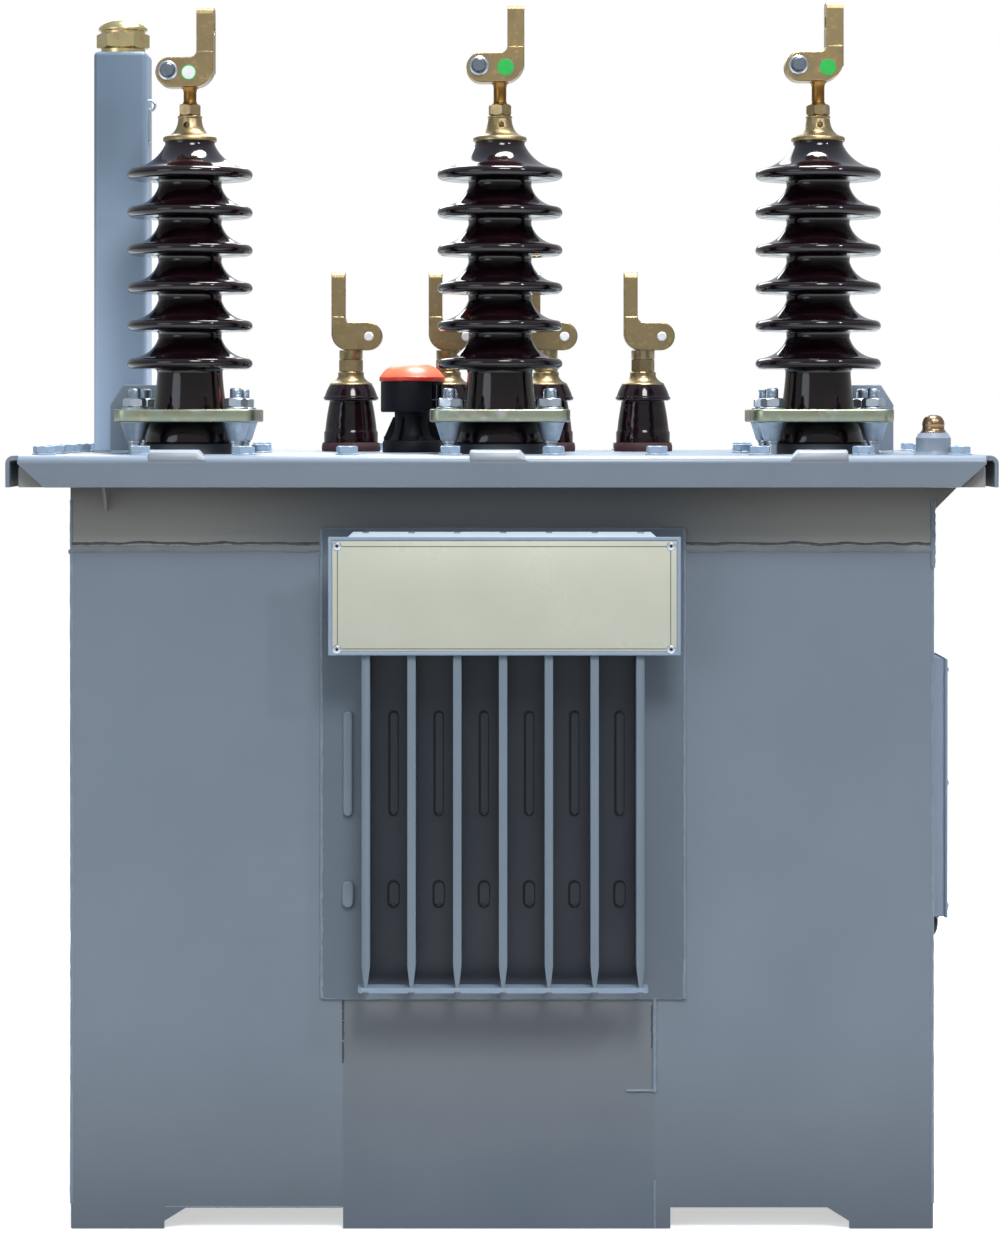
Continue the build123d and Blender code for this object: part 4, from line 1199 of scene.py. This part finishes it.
@dataclass
class Tank:
    """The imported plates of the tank, with the weld beads that hold them."""

    panel: Box = (-171.0, 173.0, 219.0, 664.5)
    joint_x: float = 145.0
    joint_z: float = 131.0
    foot_joint: Point = (-320.0, -152.0, 20.5)
    seam_end: float = 409.0
    bar_z: tuple[float, float] = (231.3, 661.0)
    bar_joint: float = 3.0
    fins: int = 7
    fin_pitch: float = 42.9
    fin_middle: float = 1.0
    stitches: tuple[Point, ...] = (
        (-151.0, 157.0, 177.0), (-151.0, 179.5, 197.0), (-151.0, 198.5, 217.0), (142.6, 172.0, 212.0))
    pressings: tuple[Point, ...] = ((396.75, 487.25, 4.75), (310.75, 325.25, 5.75))
    pressing_shift: float = -18.3
    pressing_face: float = -224.0
    corner_ends: Point = (24.0, 628.0, 692.0)
    lug_x: float = 345.0
    lug_half: float = 50.0
    lug_sides: tuple[float, float] = (-20.4, -9.6)
    tube_x: tuple[float, float] = (-415.0, -361.0)
    tube_y: tuple[float, float] = (-5.0, 49.0)

    def dress(self) -> None:
        """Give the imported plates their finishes."""
        for side in ("front", "rear"):
            dress_node(f"{side}_fin_panel", FIN_ENAMEL)
            dress_node(f"{side}_wall_left", TANK_ENAMEL)
            dress_node(f"{side}_wall_right", TANK_ENAMEL)
            dress_node(f"{side}_wall_lower", LOWER_ENAMEL)
            dress_node(f"{side}_fin_bars", PALE_ENAMEL)
        for name in ("left_wall", "right_wall", "floor_plate"):
            dress_node(name, TANK_ENAMEL)
        for name in ("front_collar", "rear_collar", "left_collar", "right_collar", "rim_gussets"):
            dress_node(name, COLLAR_ENAMEL)
        dress_node("lid_gasket", NITRILE)

    def fin_x(self, number: int) -> float:
        """Middle of a fin, counted from the left."""
        return self.fin_middle + (number - self.fins // 2) * self.fin_pitch

    def front_beads(self) -> list[Piece]:
        """Weld the front: margins of the finned panel, lower joints and bars."""
        y, tip, half = AT.front_y, AT.fin_tip + 0.6, self.bar_joint
        left, right, low, high = self.panel
        beads = [bead((x, y - 0.6, low), "Z", high, 2.3, 1.7) for x in (left, right)]
        beads += [bead((left, y - 0.4, z), "X", right, 1.9, 1.3) for z in (low, high)]
        x, z = self.joint_x, self.joint_z
        start, stop, foot = self.foot_joint
        beads += [
            bead((x, y + 0.4, 0.6), "Z", 46, 1.3, 0.9),
            bead((x, y, z - 1), "Z", low, 2.3, 1.8),
            bead((x - 27, y, z), "X", x + 2, 1.5, 1.2),
            bead((start, y + 0.5, foot), "X", stop, 0.9, 0.4),
        ]
        for x in map(self.fin_x, range(self.fins)):
            beads += [bead((x - half, tip, z + 1.2), "X", x + half, 1.3, 0.9) for z in self.bar_z]
        return beads

    def seam(self) -> tuple[Piece, Piece]:
        """Lay the broad weld under the collar, a thin dark line of painted shadow above it, and dark stitches
        in the lower joints.

        Returns:
            The weld, and the shadow line with the joint stitches.
        """
        y, z = AT.front_y, AT.collar_z
        welds, shadow_and_joint_lines = [], []
        for start, stop in ((-self.seam_end, self.panel[0] - 1), (self.panel[1] + 1, self.seam_end)):
            welds.append(bead((start, y + 3.6, z + 1.6), "X", stop, 5.0, 1.6, 2.4))
            # The dark line above the weld is painted shadow.
            shadow_and_joint_lines.append(bead((start, y + 0.55, z + 6.8), "X", stop, 1.3, 1.0, 5.0))
        shadow_and_joint_lines += [bead((x, y + 0.5, low), "Z", high, 1.2, 1.3) for x, low, high in self.stitches]
        return join(welds, "front_seam"), join(shadow_and_joint_lines, "front_undercut")

    def pressing_rims(self) -> tuple[Piece, Piece]:
        """Trace the rims of the pressings between the fins in painted shade, with lighter grey spots at their
        lower ends.

        Returns:
            The dark rims and the spots.
        """
        rims, dust = [], []
        deep = self.pressing_face
        for number in range(1, self.fins):
            x = self.fin_x(number) + self.pressing_shift
            for low, high, wide in self.pressings:
                rim = upright("pressing_rim", oval(x, low, high, wide, 10), deep, -0.25)
                inner = oval(x + 0.7, low + 1.2, high - 0.3, wide - 1.4, 10)
                rims.append(cut(rim, upright("pressing_core", inner, deep + 1, -3)))
                spot = rod("dust", (x + 0.4, deep - 0.1, low - wide + 3.2), 1.9, 0.7, "Y", 16)
                dust.append(soften(spot, 0.25, 1))
        return join(rims, "front_pressing_rims"), join(dust, "front_pressing_dust")

    def margin_pressings(self) -> Piece:
        """Dome the two pressings that stand in the daylight beside the fins."""
        x = self.fin_x(0) + self.pressing_shift
        domes = []
        for low, high, wide in self.pressings:
            dome = upright("dome", oval(x, low, high, wide, 12), self.pressing_face + 1.6, -4.2)
            domes.append(smooth(soften(dome, 2.4, 5), 60))
        return join(domes, "front_margin_pressings")

    def side_beads(self) -> list[Piece]:
        """Weld the collar seam and the upright corners of the right side."""
        x, y, z = AT.side_x, AT.front_y, AT.collar_z
        low, middle, high = self.corner_ends
        return [
            bead((x - 0.9, y + 1, z - 0.8), "Y", -y - 1, 3.2, 1.0, 1.6),
            bead((x - 0.6, y + 0.6, middle), "Z", high, 2.6, 2.2),
            bead((x - 1.2, y + 1.2, low), "Z", middle, 1.9, 0.7),
            bead((x - 1.2, -y - 1.2, low), "Z", high, 1.9, 0.9),
        ]

    def lid_beads(self) -> list[Piece]:
        """Weld the fittings that stand on the lid."""
        top, half = AT.lid_top, self.lug_half
        left, right = self.tube_x
        front, back = self.tube_y
        beads = [
            bead((x - half, y, top), "X", x + half, 2.4, 1.2)
            for x in (-self.lug_x, self.lug_x)
            for y in self.lug_sides
        ]
        beads += [bead((left + 1, y, top), "X", right - 1, 2.6, 1.4) for y in self.tube_y]
        return beads + [bead((x, front + 1, top), "Y", back - 1, 2.6, 1.4) for x in self.tube_x]

    def make(self) -> None:
        """Dress the plates, lay the beads and repeat them on the far side, half a turn round."""
        self.dress()
        rims, dust = self.pressing_rims()
        seam, shadow_and_joints = self.seam()
        for piece, finish in (
            (rims, PRESSING_ENAMEL),
            (dust, PRESSING_SPOTS),
            (self.margin_pressings(), TANK_ENAMEL),
            (seam, SEAM_ENAMEL),
            (shadow_and_joints, SEAM_SHADOW),
            (join(self.front_beads(), "front_welds"), WELD_ENAMEL),
            (join(self.side_beads(), "right_welds"), WELD_ENAMEL),
        ):
            hand_over(piece, finish, "tank_paint")
            far_name = piece.name.replace("front", "rear").replace("right", "left")
            hand_over(again(piece, far_name, turn=180), finish, "tank_paint")
        hand_over(join(self.lid_beads(), "lid_welds"), WELD_ENAMEL, "tank_paint")


@dataclass
class Sign:
    """The sign in its holder: a bare cream plate with a printed line and four rivets."""

    outer: Box = (-162.7, 167.3, 547.8, 658.8)
    plate_box: Box = (-158.8, 163.4, 551.7, 654.9)
    line_box: Box = (-154.4, 158.2, 553.6, 650.2)
    line_wide: float = 0.9
    front: float = -269.0
    depth: float = 4.0
    recess: float = 1.5
    face: float = 0.35
    gap: float = 0.3
    lip: Point = (658.3, 663.4, 139.3)
    lip_slope: float = 5.5
    lip_round: float = 4.2
    rivet: float = 4.3

    def slab(self, name: str, box: Box, near: float, far: float, grow: float = 0.0) -> Piece:
        """A slab that faces the front.

        Args:
            name: its name.
            box: its left, right, lower and upper edges in mm.
            near: where it starts behind the holder's front, in mm.
            far: where it ends behind the holder's front, in mm.
            grow: how far each edge is moved out, in mm.

        Returns:
            The slab.
        """
        left, right, low, high = box
        return cube(
            name, (left - grow, self.front + near, low - grow), (right + grow, self.front + far, high + grow)
        )

    def build_lip(self) -> Piece:
        """Bend the lip over the sign, its front corners cut off."""
        low, high, reach = self.lip
        foot = reach + self.lip_slope
        outline = ((-foot, low), (foot, low), (reach, high), (-reach, high))
        lip = upright("sign_lip", outline, self.front + 0.4, 6)
        round_off(lip, front_rim(self.front + 0.5, high - 0.1), self.lip_round, 1)
        return smooth(soften(lip, 0.5, 2), 40)

    def make(self) -> None:
        """Build the holder, the plate, the line and the rivets."""
        face, size = self.face, self.rivet
        holder = self.slab("sign_holder", self.outer, 0, self.depth)
        cut(holder, self.slab("sign_well", self.plate_box, -2, self.recess, self.gap))
        hand_over(smooth(soften(holder, 0.9, 3), 40), PALE_ENAMEL, "tank_paint", "nameplate_frame")
        hand_over(self.build_lip(), LIP_ENAMEL, "tank_paint")
        sheet = smooth(soften(self.slab("sign_sheet", self.plate_box, face, self.recess), 0.35, 2), 40)
        hand_over(sheet, SIGN_ENAMEL, "sign_plate", "nameplate_face")
        line = self.slab("sign_line", self.line_box, face - 0.06, face + 0.3)
        cut(line, self.slab("sign_line_inner", self.line_box, face - 2, face + 2, -self.line_wide))
        hand_over(line, SIGN_LINE, "sign_plate")
        rivet = turned("rivet", [
            (size, -0.6), (size, 0.3), (size - 0.5, 0.9), (2.9, 1.45), (1.5, 1.6), (1.4, 0.9),
        ])
        pin = turned("rivet_pin", [(1.3, 0.4), (1.25, 1.15), (0.9, 1.3)], steps=24)
        groups = defaultdict(list)
        for name, model in (("sign_rivets", rivet), ("sign_rivet_pins", pin)):
            put(model, turn=90, axis="X")
            for x in self.line_box[:2]:
                for z in self.line_box[2:]:
                    groups[name].append(again(model, name, (x, self.front + face, z)))
        discard(rivet, pin)
        hand_over_groups(
            groups,
            ("sign_rivets", RIVET_ALUMINIUM, "galvanised_steel"),
            ("sign_rivet_pins", DARK_STEEL, "galvanised_steel"),
        )


@dataclass
class ReliefValve:
    """The relief valve: flanged foot with ribs, barrel with windows, orange cap."""

    x: float = -91.8
    y: float = 10.0
    base: float = 30.0
    neck: float = 17.8
    head: float = 31.9
    head_low: float = 776.0
    head_high: float = 807.0
    cap: float = 33.3
    cap_top: float = 824.4
    window_turn: float = 56.0
    ribs: int = 6
    rib_half: float = 1.3
    bolts: int = 3
    bolt_turn: float = 54.0
    bolt_out: float = 24.5

    def build_body(self) -> Piece:
        """Turn the body, cut its windows and set its ribs."""
        low, bottom, base, neck, head = AT.lid_top, self.head_low, self.base, self.neck, self.head
        foot = turned("valve_foot", [
            (base, 0), (base, 10.5), (base - 1.2, 12), (24.5, 12.6),
            *bow((24, 13.4), (19.4, 22), (neck, 36), 8), (neck, bottom + 0.4 - low),
        ], low, 64, 40)
        side = [(head - 1.2, 0), (head, 1.2), (head, self.head_high - bottom)]
        barrel = lathe("valve_head", side, bottom, 96)
        pane = cube("pane", (-8, -head - 4, bottom + 4.5), (8, -head + 3.2, self.head_high - 3.2))
        for window in frill(pane, 2, self.window_turn):
            cut(barrel, window)
        smooth(soften(barrel, 0.5, 2, 40), 30)
        side = ((1 - neck, 12), (1.5 - base, 12), (1.5 - base, 15), (-neck - 1.5, 36), (1 - neck, 36))
        rib = plate("valve_rib", [(-self.rib_half, y, low + z) for y, z in side], (2 * self.rib_half, 0, 0))
        return join([foot, barrel, *frill(soften(rib, 0.35, 2), self.ribs, 30)], "valve_body")

    def build_grille(self) -> Piece:
        """Cross a bar and a sill behind a window."""
        low, deep = self.head_low, -self.head + 0.9
        bar = cube("bar", (-1.0, deep, low + 3.5), (0.6, deep + 3, self.head_high - 2))
        sill = cube("sill", (-8.5, deep, low + 12), (8.5, deep + 3, low + 13.2))
        return join([soften(bar, 0.3, 2), soften(sill, 0.3, 2)], "grille")

    def make(self) -> None:
        """Build the valve at its place."""
        low, top, wide = self.head_high, self.cap_top - self.head_high, self.cap
        cap = turned("valve_cap", [
            (wide - 0.8, 0.3), (wide, 1), (wide, 4.4), (wide - 0.7, 5.2),
            *bow((wide - 1.6, 6.6), (24.6, top - 3.4), (15.4, top - 0.1), 10), (13, top),
        ], low, 80, 40)
        bolt = nut("valve_bolt", AT.lid_top + 11, AT.lid_top + 16.5, 8.0, 0.6, (self.bolt_out, 0))
        bolts = join(frill(bolt, self.bolts, self.bolt_turn), "valve_bolts")
        grilles = join(frill(self.build_grille(), 2, self.window_turn), "valve_grilles")
        for piece, finish, slot, *nodes in (
            (self.build_body(), BLACK_NYLON, "black_plastic", "relief_valve_body"),
            (cap, ORANGE_ABS, "orange_plastic", "relief_valve_cap"),
            (bolts, BLACK_NYLON, "black_plastic"),
            (grilles, DULL_ZINC, "galvanised_steel"),
        ):
            hand_over(put(piece, (self.x, self.y, 0)), finish, slot, *nodes)


@dataclass
class FillerTube:
    """The square filler tube with its turned brass cap."""

    x: float = -388.0
    y: float = 22.0
    half: float = 27.0
    top: float = 1142.8
    hexagon: float = 47.0
    dome_low: float = 1163.8
    dome_top: float = 1180.0
    ring_z: float = 1089.0

    def build_cap(self) -> Piece:
        """Turn the collar and the dome of the cap and set its hexagon between them."""
        place, peak = (self.x, self.y), self.dome_top - self.dome_low
        return join([
            turned("cap_collar", [(22.4, -0.5), (22.4, 3.8), (21.6, 4.6)], self.top, 56, place=place),
            nut("cap_head", self.top + 4.6, self.dome_low - 0.6, self.hexagon, 1.6, place),
            turned("cap_dome", [
                (22.2, -1), (22.2, 1.2), (22.8, 1.4), (24.8, 2.2), (25, 3.4), (24.6, 4.8),
                *bow((24, 5.6), (17.5, 11.4), (7.5, 13.7), 9), *bow((6.6, 13.9), (3.4, 15.2), (1.0, peak), 5),
            ], self.dome_low, 72, 40, place),
        ], "tube_cap")

    def build_ring(self) -> Piece:
        """Hang the small seal ring on its strap at the side of the tube."""
        x, y, z = self.x + self.half, self.y - 8, self.ring_z
        clear()
        bpy.ops.mesh.primitive_torus_add(
            location=Vector((x + 1.5, y, z)) * MM, rotation=(math.pi / 2, 0, 0), major_radius=5.2 * MM,
            minor_radius=1.3 * MM, major_segments=32, minor_segments=12,
        )
        ring = smooth(new_piece("seal_ring"), 60)
        strap = soften(cube("seal_strap", (x - 1, y - 4, z - 37), (x + 2.2, y + 4, z - 3)), 0.7, 2)
        return join([ring, strap], "tube_seal_ring")

    def make(self) -> None:
        """Build the tube, its cap and the small seal ring on its side."""
        x, y, half = self.x, self.y, self.half
        tube = cube("tube", (x - half, y - half, AT.lid_top), (x + half, y + half, self.top))
        round_off(tube, tall, 5.5, 5)
        round_off(tube, lambda edge: min(v.co.z for v in edge.verts) > (self.top - 0.1) * MM, 4.5, 4)
        hand_over(smooth(tube, 40), TUBE_ENAMEL, "tank_paint", "filler_tube")
        hand_over(self.build_cap(), TURNED_BRASS, "brass", "filler_cap")
        hand_over(self.build_ring(), ZINC_PLATE, "galvanised_steel")


@dataclass
class LidFittings:
    """Lifting lugs and the thermometer pocket."""

    lug: tuple[float, float] = (294.0, 396.0)
    lug_y: float = -20.0
    lug_thick: float = 10.0
    lug_top: float = 803.6
    shoulder: tuple[float, float] = (12.7, 20.3)
    eye: Point = (345.0, 771.0, 14.0)
    pocket: tuple[float, float] = (409.0, -226.0)
    pocket_high: float = 21.0

    def make(self) -> None:
        """Build the lugs and the pocket."""
        low, top, high = AT.lid_top, self.lug_top, self.pocket_high
        (inner, outer), (dx, dz), (eye_x, eye_z, radius) = self.lug, self.shoulder, self.eye
        lug = upright("lug", [
            (inner, low), (outer, low), (outer, top - dz), (outer - dx, top), (inner + dx, top),
            (inner, top - dz),
        ], self.lug_y, self.lug_thick)
        cut(lug, rod("lug_eye", (eye_x, self.lug_y + self.lug_thick / 2, eye_z), radius, 40, "Y", 48))
        smooth(soften(lug, 1.0, 3), 40)
        lugs = join([lug, again(lug, "lug_left", (-2 * eye_x, 0, 0))], "lifting_lug_plates")
        hand_over(lugs, TANK_ENAMEL, "tank_paint", "lifting_lugs")
        pocket = turned("pocket", [
            (19.0, 0), (17.4, 2.4), (16.5, 4), (16.5, 16), (13.6, high),
        ], low, 56, 30, self.pocket)
        hand_over(pocket, TANK_ENAMEL, "tank_paint", "thermometer_pocket")
        plug = turned("plug", [
            (12.2, -0.5), (12.3, 0.8), (11.4, 1.8), (10.4, 3.2), (10.2, 6.5), (10.6, 7.4), (10.4, 9.6),
            *bow((9.8, 11.6), (7, 15.4), (2, 16.9), 7), (0, 17),
        ], low + high, 56, 40, self.pocket)
        hand_over(plug, BROWNED_BRASS, "brass", "pocket_plug")


@dataclass
class TerminalBox:
    """The flat terminal box on the right wall, with its cover, screws and cable gland."""

    low: float = 282.7
    high: float = 543.0
    roof_drop: float = 8.0
    depth: float = 24.5
    span: tuple[float, float] = (-140.0, -60.0)
    cover: float = 3.0
    screw_inset: float = 9.0
    gland: tuple[float, float] = (422.25, -100.0)

    def slab(self, name: str, near: float, far: float, inset: float) -> Piece:
        """A slab of the box between two distances from the wall, with the sloping roof."""
        slope, low, high = self.roof_drop / self.depth, self.low + inset, self.high - inset
        start, stop = self.span
        outline = ((near, low), (far, low), (far, high - far * slope), (near, high - near * slope))
        shifted = [(AT.side_x + x, z) for x, z in outline]
        return upright(name, shifted, start + inset, stop - start - 2 * inset)

    def make(self) -> None:
        """Build the box."""
        low, inset, joint = self.low, self.screw_inset, self.depth - self.cover
        body = soften(self.slab("box_body", 0, joint - 0.8, 1.0), 1.6, 3)
        seal = self.slab("box_seal", joint - 1.5, joint + 0.5, 2.4)
        cover = soften(self.slab("box_cover", joint, self.depth, 0.0), 1.0, 3)
        hand_over(smooth(join([body, cover], "box_dressed"), 40), BOX_ENAMEL, "tank_paint", "side_box")
        hand_over(seal, BOX_ENAMEL, "tank_paint")
        screw = turned("box_screw", [(4, -1), (4, 0.5), (3.2, 1.7), (1.8, 2.2), (1.7, 1.0)], 0.0, 32, 40)
        put(screw, turn=90, axis="Y")
        screws = [
            again(screw, "box_screw", (AT.side_x + self.depth, y, z))
            for y in (self.span[0] + inset, self.span[1] - inset)
            for z in (low + 10, (low + self.high) / 2, self.high - 20)
        ]
        discard(screw)
        hand_over(join(screws, "box_screws"), ZINC_PLATE, "galvanised_steel")
        collar = nut("gland_nut", low - 6, low + 1.2, 15.6, 0.8, self.gland)
        dome = turned("gland_dome", [
            (4.6, -22), (5.2, -21.4), (7.2, -17), (7.9, -12), (7.9, -7), (7.2, -6),
        ], low, 36, 40, self.gland)
        hand_over(join([collar, dome], "box_gland"), BLACK_NYLON, "black_plastic", "side_box_gland")


@dataclass
class Studio:
    """Pale floor, white surroundings, soft lamps and the camera of the picture."""

    camera_y: float = -3.32
    camera_z: float = 0.77
    lens: float = 117.47
    shift: tuple[float, float] = (-0.002, -0.1995)
    floor_radius: float = 14.0
    floor_drop: float = 0.0005
    aim: Point = (0, 0, 0.55)

    def build_camera(self) -> None:
        """Set the camera where the picture was taken from."""
        bpy.ops.object.camera_add(location=(0, self.camera_y, self.camera_z), rotation=(math.pi / 2, 0, 0))
        camera = bpy.context.object
        camera.name = "camera"
        camera.data.sensor_fit = "HORIZONTAL"
        camera.data.sensor_width = 36.0
        camera.data.lens = self.lens
        camera.data.shift_x, camera.data.shift_y = self.shift
        bpy.context.scene.camera = camera

    def build_floor(self) -> None:
        """Lay a wide pale floor that keeps the shadow and looks white where it is lit."""
        clear()
        bpy.ops.mesh.primitive_circle_add(
            vertices=96, radius=self.floor_radius, fill_type="NGON", location=(0, 0, -self.floor_drop)
        )
        floor = new_piece("floor")
        material = bpy.data.materials.new("floor_pale")
        tree = blank(material)
        matt = add_node(tree, "BsdfDiffuse", {"Color": (0.08, 0.078, 0.075, 1.0)})
        pale = add_node(tree, "BsdfDiffuse", {"Color": (0.86, 0.86, 0.86, 1.0)})
        glow = add_node(tree, "Emission", {"Color": (1, 1, 1, 1), "Strength": 0.55})
        both = add_node(tree, "AddShader", {0: pale.outputs[0], 1: glow.outputs[0]})
        rays = add_node(tree, "LightPath").outputs
        seen = reckon(tree, "MAXIMUM", rays["Is Camera Ray"], rays["Is Glossy Ray"])
        mix = add_node(tree, "MixShader", {0: seen, 1: matt.outputs[0], 2: both.outputs[0]})
        add_node(tree, "OutputMaterial", {"Surface": mix.outputs[0]})
        floor.data.materials.append(material)

    def build_world(self) -> None:
        """Light the surroundings grey, and show them white to the camera."""
        world = bpy.data.worlds.new("studio")
        bpy.context.scene.world = world
        tree = blank(world)
        rays = add_node(tree, "LightPath").outputs
        place = add_node(tree, "TexCoord").outputs["Generated"]
        axes = add_node(tree, "SeparateXYZ", {"Vector": place}).outputs
        height = ramp(tree, axes["Z"], -0.15, 0.85)
        strength = ramp(tree, height, 0.0, 1.0, 0.44, 0.85)
        tint = blend(tree, height, (1.0, 0.96, 0.90, 1.0), (0.66, 0.84, 1.0, 1.0))
        soft = add_node(tree, "Background", {"Color": tint, "Strength": strength})
        white = add_node(tree, "Background", {"Color": (1, 1, 1, 1), "Strength": 1.0})
        mix = add_node(tree, "MixShader", {0: rays["Is Camera Ray"], 1: soft.outputs[0], 2: white.outputs[0]})
        add_node(tree, "OutputWorld", {"Surface": mix.outputs[0]})

    def lamp(self, name: str, place: Point, size: float, power: float, tint: Point = (1, 1, 1)) -> None:
        """Hang a round lamp that looks at the middle of the transformer."""
        bpy.ops.object.light_add(type="AREA", location=place)
        light = bpy.context.object
        light.name = name
        light.data.shape = "DISK"
        light.data.size = size
        light.data.energy = power
        light.data.color = tint
        light.rotation_euler = (Vector(self.aim) - Vector(place)).to_track_quat("-Z", "Y").to_euler()

    def make(self) -> None:
        """Set up the studio."""
        bpy.context.scene.view_settings.view_transform = "Standard"
        self.build_camera()
        self.build_floor()
        self.build_world()
        self.lamp("key", (0.45, -2.55, 3.2), 1.1, 71.0, (1.0, 0.985, 0.96))
        self.lamp("glint", (2.0, -2.0, 2.8), 0.22, 22.0, (0.88, 0.84, 1.0))
        self.lamp("overhead", (0.25, 0.2, 3.1), 1.0, 150.0)
        self.lamp("fill", (-2.6, -2.6, 1.6), 1.8, 22.0, (0.84, 0.92, 1.0))
        self.lamp("rear", (-0.6, 2.6, 2.4), 1.6, 30.0)


def main() -> None:
    """Build the transformer's looks, sub-assembly by sub-assembly."""
    logging.basicConfig(level=logging.INFO, format="%(message)s")
    Studio().make()
    kinds = (Tank, Lid, HighBushings, LowBushings, Sign, ReliefValve, FillerTube, LidFittings, TerminalBox)
    for kind in kinds:
        LOG.info("%s", kind.__name__)
        kind().make()


if __name__ == "__main__":
    main()
